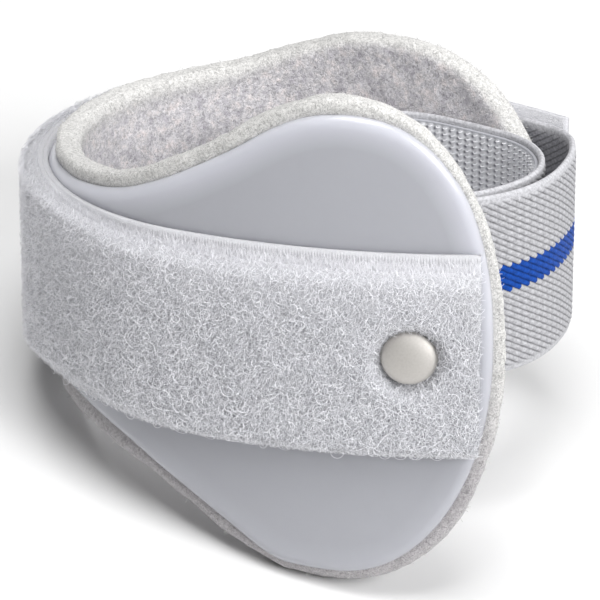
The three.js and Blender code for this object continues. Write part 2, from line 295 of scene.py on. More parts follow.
def through(knots, steps):
    """A smooth line through knots (Catmull-Rom), with steps between neighbours."""
    ends = np.concatenate([knots[:1], knots, knots[-1:]])
    share = np.linspace(0, 1, steps, endpoint=False)[:, None]
    line = []
    for before, here, there, after in zip(ends, ends[1:], ends[2:], ends[3:]):
        lead = (there - before) / 2
        tail = (after - here) / 2
        bend = -3 * here + 3 * there - 2 * lead - tail
        line.append(here + lead * share + bend * share**2 + (2 * here - 2 * there + lead + tail) * share**3)
    return np.concatenate(line + [knots[-1:]])


def spaced(line, count):
    """The same line as count points at even distances."""
    along = np.concatenate([[0], np.cumsum(np.linalg.norm(np.diff(line, axis=0), axis=1))])
    wanted = np.linspace(0, along[-1], count)
    return np.stack([np.interp(wanted, along, column) for column in line.T], -1)


def paddle_end(end, margin, half, steps=80):
    """A quarter of an oval, from its widest place to its tip."""
    reach, power = end
    angle = np.linspace(0, math.pi / 2, steps)
    along = np.sin(angle) ** (2 / power)
    across = np.cos(angle).clip(0) ** (2 / power)
    across[-1] = 0
    return np.stack([(reach + margin) * along, half * across], -1)


def edge_line(column, front_end, margin, count):
    """One edge laid flat, from the back tip to the front tip, as arc and distance from the middle."""
    flank = through(OUTLINE[:, (0, column)], 30)
    back = flank[0] * (1, 0) + paddle_end(BACK_END, margin, flank[0, 1]) * (-1, 1)
    front = flank[-1] * (1, 0) + paddle_end(front_end, margin, flank[-1, 1])
    return spaced(np.concatenate([back[:0:-1], flank, front[1:]]), count)


def moved(line, margin):
    """An edge moved out by a margin, square to itself."""
    along = np.gradient(line, axis=0)
    along /= np.linalg.norm(along, axis=1)[:, None]
    shifted = line + np.stack([-along[:, 1], along[:, 0]], -1) * margin
    shifted[0] = line[0] - (margin, 0)
    shifted[-1] = line[-1] + (margin, 0)
    return shifted


upper_edge = edge_line(SHELL_TOP, SHELL_UPPER_END, 0, 200)
print("shell laid flat:", round(float(np.ptp(upper_edge[:, 0])), 1), "mm long")

# %% [markdown]
# ## A pad with rounded edges
# Shell and felt are both flat pads bent round the wall, with rounded rims. A solidify and a bevel modifier
# could do that, but the rim is what the eye follows here, so its profile is drawn ring by ring: each ring is
# the outline drawn in by some inset, at some height. Both faces are then filled with straight rows.

# %% Pad maker


def pad(top, bottom, rings, outer_rows, inner_rows):
    """Spots (arc, z, height) and faces of a pad. Rings run from the outer face to the inner one."""
    loop = np.concatenate([top, (bottom * (1, -1))[-2:0:-1]])
    count, columns = len(loop), len(top)
    around = np.roll(loop, -1, 0) - np.roll(loop, 1, 0)
    out = np.stack([-around[:, 1], around[:, 0]], -1) / np.linalg.norm(around, axis=1)[:, None]
    spots = [np.column_stack([loop - out * inset, np.full(count, height)]) for height, inset in rings]
    index = np.arange(len(rings) * count).reshape(len(rings), count)
    quads = [ring_walls(index)]
    triangles = []
    made = index.size
    for ring, rows, inner in ((0, outer_rows, False), (len(rings) - 1, inner_rows, True)):
        upper = index[ring, :columns]
        lower = index[ring, np.concatenate([[0], count - np.arange(1, columns - 1), [columns - 1]])]
        share = np.linspace(0, 1, rows + 1)[1:-1, None]
        edge_up = spots[ring][upper[1:-1] - index[ring, 0]]
        edge_low = spots[ring][lower[1:-1] - index[ring, 0]]
        between = edge_up[:, None] + (edge_low - edge_up)[:, None] * share
        spots.append(between.reshape(-1, 3))
        fresh = made + np.arange(between.shape[0] * between.shape[1]).reshape(between.shape[:2])
        made += fresh.size
        grid = np.column_stack([upper[1:-1], fresh, lower[1:-1]])
        face = np.stack([grid[:-1, :-1], grid[:-1, 1:], grid[1:, 1:], grid[1:, :-1]], -1).reshape(-1, 4)
        tip = np.full(rows, upper[0])
        far_tip = np.full(rows, upper[-1])
        ends = np.concatenate([
            np.stack([tip, grid[0, 1:], grid[0, :-1]], -1),
            np.stack([far_tip, grid[-1, :-1], grid[-1, 1:]], -1)])
        quads.append(face[:, ::-1] if inner else face)
        triangles.append(ends[:, ::-1] if inner else ends)
    return np.concatenate(spots), [np.concatenate(quads), np.concatenate(triangles)]


def rounded_rim(face, back, outer, inner, steps):
    """Rings of (height, inset) round a rim: a quarter oval at each face, given as (inset, depth)."""
    angle = np.linspace(math.pi / 2, 0, steps)
    front = np.stack([face - outer[1] * (1 - np.sin(angle)), outer[0] * (1 - np.cos(angle))], -1)
    rear = np.stack([back + inner[1] * (1 - np.sin(angle)), inner[0] * (1 - np.cos(angle))], -1)
    return np.concatenate([front, rear[::-1]])


def pad_insets(rings, columns, count):
    """How far in from its edge each spot of a pad lies, as far as its rings reach."""
    insets = np.full(count, rings[:, 1].max())
    on_rings = np.repeat(rings[:, 1], 2 * columns - 2)
    insets[:len(on_rings)] = on_rings
    return insets


def bend_pad(spots):
    """Flat pad spots (arc, z, height) bent round the wall."""
    return on_wall(spots[:, 0], spots[:, 2], spots[:, 1] - WALL_DROP)


# %% [markdown]
# ## Finish of the shell
# Moulded polypropylene, pale blue-grey. The mould was spark eroded and then lightly polished, so the part has
# a soft, even gloss: broad shine, no mirror. The plastic is milky, and light that enters it comes out a
# millimetre or two away, so its rims look lighter. Subsurface scattering gives some of that. The rest is a
# painted glow: a measure on the mesh, which says how near the rim a spot lies, makes the base colour lighter
# there, less so on the lower half. The grain of such a mould is about 0.1 mm. It is drawn here at 0.5 mm,
# because anything finer falls between the pixels.

# %% Moulded polypropylene
SCATTER_MM = 4.0
polypropylene, tree, shader = start_material(
    "moulded_polypropylene", Roughness=0.19, IOR=1.49, Subsurface_Weight=0.85,
    Subsurface_Radius=(1.0, 1.0, 1.0), Subsurface_Scale=SCATTER_MM * MM)
place = add_node(tree, "TexCoord")
GRAIN_MM = 0.5
grain = add_node(tree, "TexNoise", {"Vector": place.outputs["Object"]}, {"Scale": 1 / (GRAIN_MM * MM)})
texture = add_node(tree, "Bump", {"Height": grain.outputs["Fac"]}, {"Strength": 0.12, "Distance": 0.02 * MM})
tree.links.new(texture.outputs["Normal"], shader.inputs["Normal"])
rim = add_node(tree, "Attribute", attribute_name="rim")
# Painted glow and highlight: the base colour is lighter near the rim.
painted_rim_glow = add_node(
    tree, "Mix", {0: rim.outputs["Fac"]}, {6: linear("#a5a6ac"), 7: linear("#c1c2ca")},
    data_type="RGBA")
tree.links.new(painted_rim_glow.outputs[2], shader.inputs["Base Color"])
print("shell grain drawn at", GRAIN_MM, "mm")

# %% [markdown]
# ## Shell
# The real shell is one injection moulding about 2 mm thick with a well rounded rim, which catches a bright
# line all round the paddles. A few flat rings inside the rim carry the measure for the painted glow, which
# makes the base colour lighter there.

# %% Make the shell
SHELL_FACE = -1.2
SHELL_BACK = -3.2
SHELL_COLUMNS = 260
FLAT_INSETS = (6.0, 5.1, 4.2, 3.3)
LIGHT_RIM = (0.8, 6.0)   # insets between which the lighter rim fades out
LIGHT_LEVELS = (-15, 15)   # the lower half of the rim is lit less
shell_top = edge_line(SHELL_TOP, SHELL_UPPER_END, 0, SHELL_COLUMNS)
shell_bottom = edge_line(SHELL_BOTTOM, SHELL_LOWER_END, 0, SHELL_COLUMNS)
shell_rings = np.concatenate([
    [(SHELL_FACE, inset) for inset in FLAT_INSETS],
    rounded_rim(SHELL_FACE, SHELL_BACK, (2.4, 1.7), (0.3, 0.3), 13)])
shell_spots, shell_faces = pad(shell_top, shell_bottom, shell_rings, 8, 8)
shell_inset = pad_insets(shell_rings, SHELL_COLUMNS, len(shell_spots))
# Painted light: the rim glow fades inwards, and the lower half gets only a quarter of it.
shell_rim = np.interp(shell_inset, LIGHT_RIM, (1, 0))
shell_rim *= np.interp(shell_spots[:, 1], LIGHT_LEVELS, (0.25, 1))
make_piece(
    "moulded_shell", bend_pad(shell_spots), shell_faces, polypropylene, "shell_plastic", ["shell"],
    rim=shell_rim)

# %% [markdown]
# ## Finish of the felt
# Needled felt of white wool and a little dyed waste: it never shines, it shows patches a few millimetres wide
# in grey, mauve and a warm white, and single fibres lie all over it. The cut rim shows fewer patches, and
# the lower edge carries painted shade that makes it a little darker. Two measures on the mesh tell where
# these are. Wool fibres are 0.03 mm thick, which is too fine to show, so their pattern is drawn at 0.5 mm.

# %% Needled wool felt
felt_wool, tree, shader = start_material(
    "needled_wool_felt", Roughness=0.95, Sheen_Weight=0.2, Sheen_Roughness=0.6, Specular_IOR_Level=0.2)
place = add_node(tree, "TexCoord")
PATCH_MM = 2.0
FIBRE_MM = 0.5
patches = add_node(
    tree, "TexNoise", {"Vector": place.outputs["Object"]},
    {"Scale": 1 / (PATCH_MM * MM), "Detail": 8, "Roughness": 0.66})
worn_tint = add_node(tree, "ValToRGB", {"Fac": patches.outputs["Fac"]})
worn_ramp = worn_tint.color_ramp
worn_ramp.elements[0].position = 0.36
worn_ramp.elements[0].color = linear("#bab6bd")
worn_ramp.elements[1].position = 0.5
worn_ramp.elements[1].color = linear("#d4d2d5")
worn_ramp.elements.new(0.66).color = linear("#e5dddd")
skin = add_node(tree, "Attribute", attribute_name="inner_face")
wool_tint = add_node(
    tree, "Mix", {0: skin.outputs["Fac"], 7: worn_tint.outputs["Color"]}, {6: linear("#d2d1cf")},
    data_type="RGBA")
fibres = add_node(
    tree, "TexNoise", {"Vector": place.outputs["Object"]},
    {"Scale": 1 / (FIBRE_MM * MM), "Detail": 3, "Distortion": 1.5})
fibre_shade = add_node(
    tree, "MapRange", {"Value": fibres.outputs["Fac"]},
    {"From Min": 0.3, "From Max": 0.62, "To Min": 0.5, "To Max": 1.08})
wool = add_node(
    tree, "Mix", {6: wool_tint.outputs[2], 7: fibre_shade.outputs["Result"]}, {0: 1.0},
    data_type="RGBA", blend_type="MULTIPLY")
# Painted shade: the base colour is darker towards the lower edge.
low = add_node(tree, "Attribute", attribute_name="lower_edge")
lower_edge_painted_shade = add_node(
    tree, "Mix", {0: low.outputs["Fac"], 6: wool.outputs[2]}, {7: linear("#dad7dc")},
    data_type="RGBA", blend_type="MULTIPLY")
tree.links.new(lower_edge_painted_shade.outputs[2], shader.inputs["Base Color"])
wool_bump = add_node(
    tree, "Bump", {"Height": fibres.outputs["Fac"]}, {"Strength": 0.7, "Distance": 0.3 * MM})
tree.links.new(wool_bump.outputs["Normal"], shader.inputs["Normal"])
print("felt patches", PATCH_MM, "mm, fibres drawn at", FIBRE_MM, "mm")

# %% [markdown]
# ## Felt lining
# A die-cut felt pad glued inside the shell, a few millimetres larger all round and cut at a slant along its
# lower edge. Felt is never flat, so its surface is pushed in and out along its own normals by a smooth noise,
# in lumps of a few sizes. Where it stands on the table it is pressed flat.

# %% Noise, steps and normals


def soft_noise(points, size, seed):
    """Smooth noise from -1 to 1 that changes over size millimetres."""
    table = np.random.default_rng(seed).uniform(-1, 1, (32, 32, 32))
    cell = np.floor(points / size).astype(int)
    share = points / size - cell
    share = share * share * (3 - 2 * share)
    total = np.zeros(len(points))
    for corner in np.ndindex(2, 2, 2):
        weight = np.prod(np.where(corner, share, 1 - share), -1)
        total += weight * table[tuple(((cell + corner) % 32).T)]
    return total


def smooth_step(value, low, high):
    """0 below low, 1 above high, and smooth between them."""
    share = np.clip((value - low) / (high - low), 0, 1)
    return share * share * (3 - 2 * share)


def normals(points, face_sets):
    """The outward direction at each point of a closed mesh."""
    total = np.zeros_like(points)
    for faces in outward(points, face_sets):
        square = face_square(points, faces)
        for corner in faces.T:
            for axis in range(3):
                total[:, axis] += np.bincount(corner, square[:, axis], len(points))
    return total / np.maximum(np.linalg.norm(total, axis=1), 1e-9)[:, None]


# %% Shape the felt pad
FELT_FACE = -3.15
FELT_THICK = 4.55
FELT_BACK = FELT_FACE - FELT_THICK
FELT_LIP = 0.6   # past the shell's edge the felt springs out by this much
LIP_STARTS, LIP_RUN = 4.0, 2.2
MARGIN_INSETS = (7.0, 5.5, 4.2, 3.1, 2.2, 1.5)
INNER_INSETS = (2.9, 3.6, 4.5, 5.6, 7.0)
FELT_BEVEL = 1.9   # the slant of the lower edge
BEVEL_FROM, BEVEL_RUN = -5.2, 2.6   # its start and length through the pad's thickness
FELT_COLUMNS = 420
FELT_LUMPS = ((6.0, 0.22), (1.5, 0.16), (0.7, 0.08))   # size and depth in millimetres
LUMP_SINK = 0.1
LUMP_SEED = 20
felt_top = moved(edge_line(SHELL_TOP, FELT_UPPER_END, 0, FELT_COLUMNS), FELT_MARGIN)
felt_bottom = edge_line(FELT_BOTTOM, FELT_LOWER_END, FELT_MARGIN, FELT_COLUMNS)
felt_rings = np.concatenate([
    [(FELT_FACE + FELT_LIP * float(smooth_step(LIP_STARTS - inset, 0, LIP_RUN)), inset)
     for inset in MARGIN_INSETS],
    rounded_rim(FELT_FACE + FELT_LIP, FELT_BACK, (1.1, 1.1), (2.4, 2.1), 8),
    [(FELT_BACK, inset) for inset in INNER_INSETS]])
felt_spots, felt_faces = pad(felt_top, felt_bottom, felt_rings, 6, 40)
felt_lower = smooth_step(-felt_spots[:, 1], 4, 18)
felt_spots[:, 1] += FELT_BEVEL * felt_lower * np.clip((felt_spots[:, 2] - BEVEL_FROM) / BEVEL_RUN, 0, 1)
felt_points = bend_pad(felt_spots)
felt_out = normals(felt_points, felt_faces)
felt_rise = sum(
    depth * soft_noise(felt_points, size, LUMP_SEED + i) for i, (size, depth) in enumerate(FELT_LUMPS))
felt_points = felt_points + felt_out * (felt_rise - LUMP_SINK)[:, None]
print("felt lumps from", felt_rise.min().round(2), "to", felt_rise.max().round(2), "mm")

# %% Make the felt pad
felt_inset = pad_insets(felt_rings, FELT_COLUMNS, len(felt_spots))
felt_inset[felt_spots[:, 2] > FELT_FACE - FELT_THICK / 2] = 0   # the half towards the shell
felt_paddle = smooth_step(np.abs(felt_spots[:, 0]), 30, 70)
felt_inner = smooth_step(felt_inset, 0.8 - 0.4 * felt_paddle, 5.5 - 2.9 * felt_paddle)
felt_pad = make_piece(
    "felt_pad", felt_points, felt_faces, felt_wool, "felt", ["felt_lining"], lowest=0.0,
    inner_face=felt_inner,
    lower_edge=smooth_step(-felt_spots[:, 1], 0, 30) * (1 - 0.7 * felt_inner))

# %% [markdown]
# ## Loose fibres of the felt
# A cut felt edge is never clean: short wool fibres stand out of it, and others lie over its inner face. Hair
# particles would be lost in an exported model, so each fibre is a real, very narrow ribbon with pointed tips.

# %% Ribbon maker


def ribbons(paths, width, facing):
    """Points and faces of fine flat fibres along paths (fibre, spot, xyz), with pointed tips."""
    count, spots = paths.shape[:2]
    side = np.cross(np.gradient(paths, axis=1), facing[:, None])[:, 1:-1]
    side /= np.maximum(np.linalg.norm(side, axis=2), 1e-9)[..., None]
    half = np.broadcast_to(np.asarray(width, float) / 2, (count,))[:, None, None]
    pairs = np.stack([paths[:, 1:-1] - side * half, paths[:, 1:-1] + side * half], 2).reshape(count, -1, 3)
    points = np.concatenate([paths[:, :1], pairs, paths[:, -1:]], 1)
    each = points.shape[1]
    base = (np.arange(count) * each)[:, None]
    rung = base + 1 + 2 * np.arange(spots - 3)
    quads = np.stack([rung, rung + 1, rung + 3, rung + 2], -1).reshape(-1, 4)
    tips = np.concatenate([base + (0, 2, 1), base + (each - 3, each - 2, each - 1)])
    return points.reshape(-1, 3), [quads, tips]


# %% Make the felt's loose fibres
FUZZ_RIM = 6500
FUZZ_INNER = 2600
FUZZ_WIDTH = 0.08
FUZZ_LENGTHS = (0.4, 1.1)
FUZZ_ROOT = 0.05   # how deep a fibre is rooted
FUZZ_CLEAR = 0.15   # the least that it points outwards
fuzz_draw = np.random.default_rng(31)
rim_end = len(felt_rings) * (2 * FELT_COLUMNS - 2)
inner_points = np.flatnonzero(felt_inner > 0.9)
fuzz_root = np.concatenate([
    fuzz_draw.choice(rim_end, FUZZ_RIM), fuzz_draw.choice(inner_points, FUZZ_INNER)])
fuzz_count = FUZZ_RIM + FUZZ_INNER
fuzz_out = felt_out[fuzz_root]
fuzz_stand = np.where(np.arange(fuzz_count) < FUZZ_RIM, 0.35, 0.05)[:, None]
fuzz_way = fuzz_out * fuzz_stand + fuzz_draw.normal(0, 0.6, (fuzz_count, 3))
fuzz_way /= np.linalg.norm(fuzz_way, axis=1)[:, None]
fuzz_way += fuzz_out * (FUZZ_CLEAR - np.minimum((fuzz_way * fuzz_out).sum(1), FUZZ_CLEAR))[:, None]
fuzz_bend = np.cross(fuzz_way, fuzz_draw.normal(0, 1, (fuzz_count, 3)))
fuzz_long = fuzz_draw.uniform(*FUZZ_LENGTHS, fuzz_count)[:, None, None]
step = np.linspace(0, 1, 6)[None, :, None]
fuzz_paths = (felt_points[fuzz_root][:, None] - fuzz_out[:, None] * FUZZ_ROOT
              + fuzz_long * (fuzz_way[:, None] * step * 0.8 + fuzz_bend[:, None] * step**2 * 0.35))
fuzz_facing = fuzz_out + fuzz_draw.normal(0, 0.5, (fuzz_count, 3))
fuzz_points, fuzz_faces = ribbons(fuzz_paths, FUZZ_WIDTH, fuzz_facing)
make_piece("felt_fuzz", fuzz_points, fuzz_faces, felt_wool, "felt", lowest=0.0)

# %% [markdown]
# ## Finish of the loop tape
# Knitted nylon loops, brushed up and heat set. Each fibre is clear and smooth, so together they look white
# with a faint cool grey where the light has passed many of them. A little sheen stands for that. Under the
# loops lies a mat of the same nylon; the shade between its fibres is painted into its colour as dark grey,
# and the bare knit of the edges is paler. The mat's pattern is drawn at 0.35 mm, about ten times as coarse as
# its fibres, so that it shows.

# %% Brushed nylon loops
nylon_loops, tree, shader = start_material(
    "brushed_nylon_loops", Roughness=0.5, IOR=1.53, Sheen_Weight=0.2, Sheen_Roughness=0.5)
place = add_node(tree, "TexCoord")
TUFT_MM = 3.0
tufts = add_node(
    tree, "TexNoise", {"Vector": place.outputs["Object"]}, {"Scale": 1 / (TUFT_MM * MM), "Detail": 3})
loop_tint = add_node(
    tree, "Mix", {0: tufts.outputs["Fac"]}, {6: linear("#e2e2e7"), 7: linear("#f7f7fa")},
    data_type="RGBA")
tree.links.new(loop_tint.outputs[2], shader.inputs["Base Color"])
print("tufts of", TUFT_MM, "mm")

# %% Matted nylon under the loops
nylon_mat, tree, shader = start_material(
    "matted_nylon_pile", Roughness=0.8, IOR=1.53, Sheen_Weight=0.2, Sheen_Roughness=0.5)
place = add_node(tree, "TexCoord")
MAT_MM = 0.35
matting = add_node(
    tree, "TexNoise", {"Vector": place.outputs["Object"]},
    {"Scale": 1 / (MAT_MM * MM), "Detail": 2, "Distortion": 2.0})
mat_shade = add_node(
    tree, "MapRange", {"Value": matting.outputs["Fac"]}, {"From Min": 0.35, "From Max": 0.65})
# Painted shade between the mat's fibres: dark grey where the noise is low.
mat_painted_shade = add_node(
    tree, "Mix", {0: mat_shade.outputs["Result"]}, {6: linear("#7c7d83"), 7: linear("#d2d3d8")},
    data_type="RGBA")
ground_tint = add_node(
    tree, "Mix", {0: mat_shade.outputs["Result"]}, {6: linear("#c9c9ce"), 7: linear("#d8d8dc")},
    data_type="RGBA")
# The bare measure marks the bare knit, and also carries painted light that makes the mat paler towards the
# upper edge.
bare = add_node(tree, "Attribute", attribute_name="bare")
tape_tint = add_node(
    tree, "Mix", {0: bare.outputs["Fac"], 6: mat_painted_shade.outputs[2], 7: ground_tint.outputs[2]},
    data_type="RGBA")
tree.links.new(tape_tint.outputs[2], shader.inputs["Base Color"])
mat_bump = add_node(
    tree, "Bump", {"Height": mat_shade.outputs["Result"]}, {"Strength": 0.6, "Distance": 0.25 * MM})
tree.links.new(mat_bump.outputs["Normal"], shader.inputs["Normal"])
print("matted fibres drawn at", MAT_MM, "mm")

# %% [markdown]
# ## Loop tape
# The strap is stock tape 40 mm wide: a knitted ground with a thick pile on its outside. Its body is a band
# swept along the wall whose outer side is a height field: bare along the upper edge, full over the rest and
# pressed down round the two rivets. At the back it rides up over the root of the elastic, and where it leaves
# the bend at the front its lower edge is drawn up a little.

# %% Heights of the tape
STRAP_FRONT_END = 127.4
STRAP_BACK_END = -116.0
STRAP_HALF = 20.0
STRAP_GROUND = 1.1
PILE_BODY = 2.9
PILE_OPENS = 0.9
PILE_FOOT = 0.15   # the mat's depth where no pile stands
PILE_TOP = 18.0   # level of the pile's upper edge
PILE_TOP_BEND = 1.9   # higher by this round the bend
PILE_TOP_BACK = 1.6   # lower by this at the back end
STRAP_LIFT = 1.7
LIFT_STARTS = -62.0
LIFT_ENDS = -83.0
RIVETS = {   # the solid that each stands for, its arc and its lift
    "front_rivet": ("rivet_front", 114.6, 0.0), "back_rivet": ("rivet_back", -98.0, STRAP_LIFT)}
TUCK = 1.7
TUCK_AT = 44.0
TUCK_WIDTH = 18.0
SHOULDER = 2.1   # the pile rises over this width along its lower edge
SHOULDER_TUCKED = 3.5   # and over this much more where the edge is drawn up
PRESSED_FROM = 4.0
PRESSED_TO = 8.2


def strap_lift(arc):
    """How far the strap stands off the wall."""
    return STRAP_LIFT * (1 - smooth_step(arc, LIFT_ENDS, LIFT_STARTS))


def rivet_distance(arc, z):
    """Distance on the strap to the nearest rivet's middle."""
    return np.min([np.hypot(arc - at, z) for node, at, lift in RIVETS.values()], axis=0)


def pile_upper(arc):
    """The pile's upper edge. It leaves less of the tape bare round the bend, and more at the back end."""
    raised = PILE_TOP + PILE_TOP_BEND * (1 - smooth_step(np.abs(arc), 25, 70))
    return raised - PILE_TOP_BACK * (1 - smooth_step(arc, -75, -55))


def brushed(arc, z):
    """How far the pile is raised near its upper edge: at once round the bend, slowly at the front."""
    return smooth_step(pile_upper(arc) - z, -0.3, 1.3 + 2.4 * smooth_step(arc, 30, 80))


def leaves_bend(arc):
    """1 where the tape leaves the bend at the front, falling to 0 on both sides."""
    return np.exp(-((arc - TUCK_AT) / TUCK_WIDTH)**2)


def tucked(arc, z):
    """The level of a spot on the tape, drawn up along the lower edge where the tape leaves the bend."""
    return z + TUCK * leaves_bend(arc) * smooth_step(-z, -5, 20)


def pile_share(arc, z):
    """How much of the pile's height stands at a spot: 0 under a rivet or on the selvedge."""
    pressed = smooth_step(rivet_distance(arc, z), PRESSED_FROM, PRESSED_TO)
    lower = np.clip((z + STRAP_HALF + 0.15) / (SHOULDER + SHOULDER_TUCKED * leaves_bend(arc)), 0, 1)
    cut_end = smooth_step(arc - STRAP_BACK_END, 0.5, 8.0)
    return pressed * lower * cut_end * brushed(arc, z)


def pile_body(arc):
    """Depth of the matted pile. It opens where the tape bends."""
    return PILE_BODY + PILE_OPENS * (1 - smooth_step(np.abs(arc), 35, 75))


print("pile", PILE_BODY, "mm deep on the arms and", PILE_BODY + PILE_OPENS, "mm round the bend")

# %% Make the tape's body
TAPE_STATIONS = 330
TAPE_ROWS = 62
TAPE_UNDER_ROWS = 12
TAPE_EDGE = -0.45   # where the outer side meets the tape's two edges
MAT_LUMPS = ((0.30, 2.4, 41), (0.2, 1.1, 42))   # depth, size and seed


def band(station_count, outer_rows, inner_rows):
    """Faces of a swept strip: its outer rows, its inner rows, both edges and both ends."""
    ring = outer_rows + inner_rows
    index = np.arange(station_count * ring).reshape(station_count, ring)
    quads = [ring_walls(index)]
    triangles = []
    for end, flip in ((index[0], False), (index[-1], True)):
        outer = end[:outer_rows]
        inner = end[outer_rows:][::-1]
        pick = np.round(np.linspace(0, inner_rows - 1, outer_rows)).astype(int)
        moves = pick[1:] != pick[:-1]
        near = inner[pick]
        cap = np.stack([outer[1:], outer[:-1], near[:-1], near[1:]], -1)
        four, three = cap[moves], cap[~moves][:, :3]
        quads.append(four[:, ::-1] if flip else four)
        triangles.append(three[:, ::-1] if flip else three)
    return [np.concatenate(quads), np.concatenate(triangles)]


tape_arc = np.linspace(STRAP_BACK_END, STRAP_FRONT_END, TAPE_STATIONS)[:, None]
tape_z = np.linspace(-STRAP_HALF, STRAP_HALF, TAPE_ROWS - 2)
tape_z = np.concatenate([[-STRAP_HALF], tape_z, [STRAP_HALF]])[None]
tape_under_z = np.linspace(STRAP_HALF, -STRAP_HALF, TAPE_UNDER_ROWS)[None]
tape_share = pile_share(tape_arc, tape_z)
tape_spread = np.stack(np.broadcast_arrays(tape_arc, tape_z, 0), -1).reshape(-1, 3)
tape_lump = sum(depth * soft_noise(tape_spread, size, seed) for depth, size, seed in MAT_LUMPS)
tape_lump = tape_lump.reshape(tape_share.shape)
tape_high = PILE_FOOT + (pile_body(tape_arc) - PILE_FOOT + tape_lump) * tape_share
tape_high[:, [0, -1]] = TAPE_EDGE
tape_points = np.concatenate([
    on_wall(tape_arc, tape_high + strap_lift(tape_arc), tucked(tape_arc, tape_z)),
    on_wall(tape_arc, strap_lift(tape_arc) - STRAP_GROUND, tucked(tape_arc, tape_under_z))], 1)
tape_bare_and_painted_light = np.ones(tape_points.shape[:2])
top_painted_light = 0.5 * smooth_step(tape_z, 0, 17)   # painted light: the mat is paler towards the upper edge
tape_bare_and_painted_light[:, :TAPE_ROWS] = np.maximum(1 - smooth_step(brushed(tape_arc, tape_z), 0.1, 0.9), top_painted_light)
loop_tape = make_piece(
    "loop_tape", tape_points, band(TAPE_STATIONS, TAPE_ROWS, TAPE_UNDER_ROWS), nylon_mat, "loop_tape",
    ["loop_strap"], bare=tape_bare_and_painted_light)

# %% [markdown]
# ## The pile
# What the eye sees of brushed loop tape is a mat of fine bent fibres. Bump in a material can't cast the small
# shadows between them, so each is a narrow ribbon: a short arc that leaves the mat, lies over it and dips
# back in. The real fibres are about 0.03 mm thick, and there are far more of them. These are drawn up to
# twice as wide, or they would vanish between the pixels.

# %% Make the fibres
FIBRE_SPACING = 0.42
FIBRE_SPOTS = 6
PILE_PIECES = 3
FRINGE_COUNT = 7000   # short ones that lean over the selvedge
FRINGE_FROM = -70.0
pile_draw = np.random.default_rng(53)


def jittered(low, high, bottom, top, spacing, draw):
    """Evenly scattered pairs over a rectangle."""
    columns = int((high - low) / spacing)
    rows = int((top - bottom) / spacing)
    i, j = np.meshgrid(np.arange(columns), np.arange(rows), indexing="ij")
    shake = draw.uniform(0, 1, (2, columns, rows))
    return (low + (i + shake[0]) * spacing).ravel(), (bottom + (j + shake[1]) * spacing).ravel()


fibre_arc, fibre_z = jittered(
    STRAP_BACK_END, STRAP_FRONT_END, -STRAP_HALF + 0.1, STRAP_HALF - 1.0, FIBRE_SPACING, pile_draw)
keep = rivet_distance(fibre_arc, fibre_z) > PRESSED_FROM + 1.2
keep &= fibre_z < pile_upper(fibre_arc) - 0.2
keep &= pile_draw.uniform(0, 1, len(keep)) < 0.55 + 0.45 * brushed(fibre_arc, fibre_z)
fibre_arc, fibre_z = fibre_arc[keep], fibre_z[keep]
fringe_arc = pile_draw.uniform(FRINGE_FROM, STRAP_FRONT_END, FRINGE_COUNT)
fringe_z = pile_upper(fringe_arc) - pile_draw.uniform(-0.3, 1.6, FRINGE_COUNT)
fibre_arc = np.concatenate([fibre_arc, fringe_arc])
fibre_z = np.concatenate([fibre_z, fringe_z])
fibre_count = len(fibre_arc)
print(fibre_count, "fibres")

# %% Draw the fibres' bends
UPRIGHT_SHARE = 0.35   # of the fibres, those that the brush left pointing up the tape
FIBRE_TURNS = (0.5, 2.1)
FIBRE_LENGTHS = (1.6, 4.0)
FIBRE_TOPS = (0.2, 1.1)
fibre_least = np.where(np.arange(fibre_count) < fibre_count - FRINGE_COUNT, 0.1, 0.2)
fibre_share = np.maximum(pile_share(fibre_arc, fibre_z), fibre_least)[:, None]
upright = pile_draw.uniform(0, 1, fibre_count) < UPRIGHT_SHARE
up_the_tape = math.pi / 2 + pile_draw.normal(0, 0.6, fibre_count)
fibre_way = np.where(upright, up_the_tape, pile_draw.uniform(0, 2 * math.pi, fibre_count))
at_selvedge = brushed(fibre_arc, fibre_z) < 0.3
fibre_way = np.where(at_selvedge, math.pi / 2 + 0.4 * np.cos(fibre_way * 5), fibre_way)[:, None]
fibre_turn = pile_draw.uniform(*FIBRE_TURNS, fibre_count) ** 1.6
fibre_turn = (fibre_turn * pile_draw.choice((-1, 1), fibre_count))[:, None]
fibre_long = pile_draw.uniform(*FIBRE_LENGTHS, fibre_count)[:, None]
fibre_top = pile_draw.uniform(*FIBRE_TOPS, fibre_count)[:, None]
print(upright.sum(), "fibres point up the tape")

# %% Bend the fibres
FIBRE_WIDTHS = (0.04, 0.065)
FIBRE_TWIST = 0.45
u = np.linspace(0, 1, FIBRE_SPOTS)[None]
bow = fibre_long / fibre_turn
path_arc = fibre_arc[:, None] + bow * (np.sin(fibre_way + fibre_turn * (u - 0.5)) - np.sin(fibre_way))
path_z = fibre_z[:, None] - bow * (np.cos(fibre_way + fibre_turn * (u - 0.5)) - np.cos(fibre_way))
path_rise = (fibre_top + 0.3) * np.sin(math.pi * np.clip(u * 1.1, 0, 1))
path_high = PILE_FOOT + fibre_share * (pile_body(fibre_arc)[:, None] - 0.55 + path_rise)
path_arc = np.clip(path_arc, STRAP_BACK_END - 0.7, STRAP_FRONT_END + 0.9)
edge_limit = 0.3 + 2.3 * np.maximum(path_z + STRAP_HALF + 0.3, 0)   # they lie flat along the lower edge
path_high = np.minimum(path_high, edge_limit)
path_z = tucked(path_arc, np.clip(path_z, -STRAP_HALF - 0.1, STRAP_HALF + 0.1))
fibre_paths = on_wall(path_arc, path_high + strap_lift(path_arc), path_z)
fibre_wide = pile_draw.uniform(*FIBRE_WIDTHS, fibre_count)
fibre_facing = np.column_stack([wall(fibre_arc)[2], np.zeros(fibre_count)])
fibre_facing = fibre_facing + pile_draw.normal(0, FIBRE_TWIST, (fibre_count, 3))
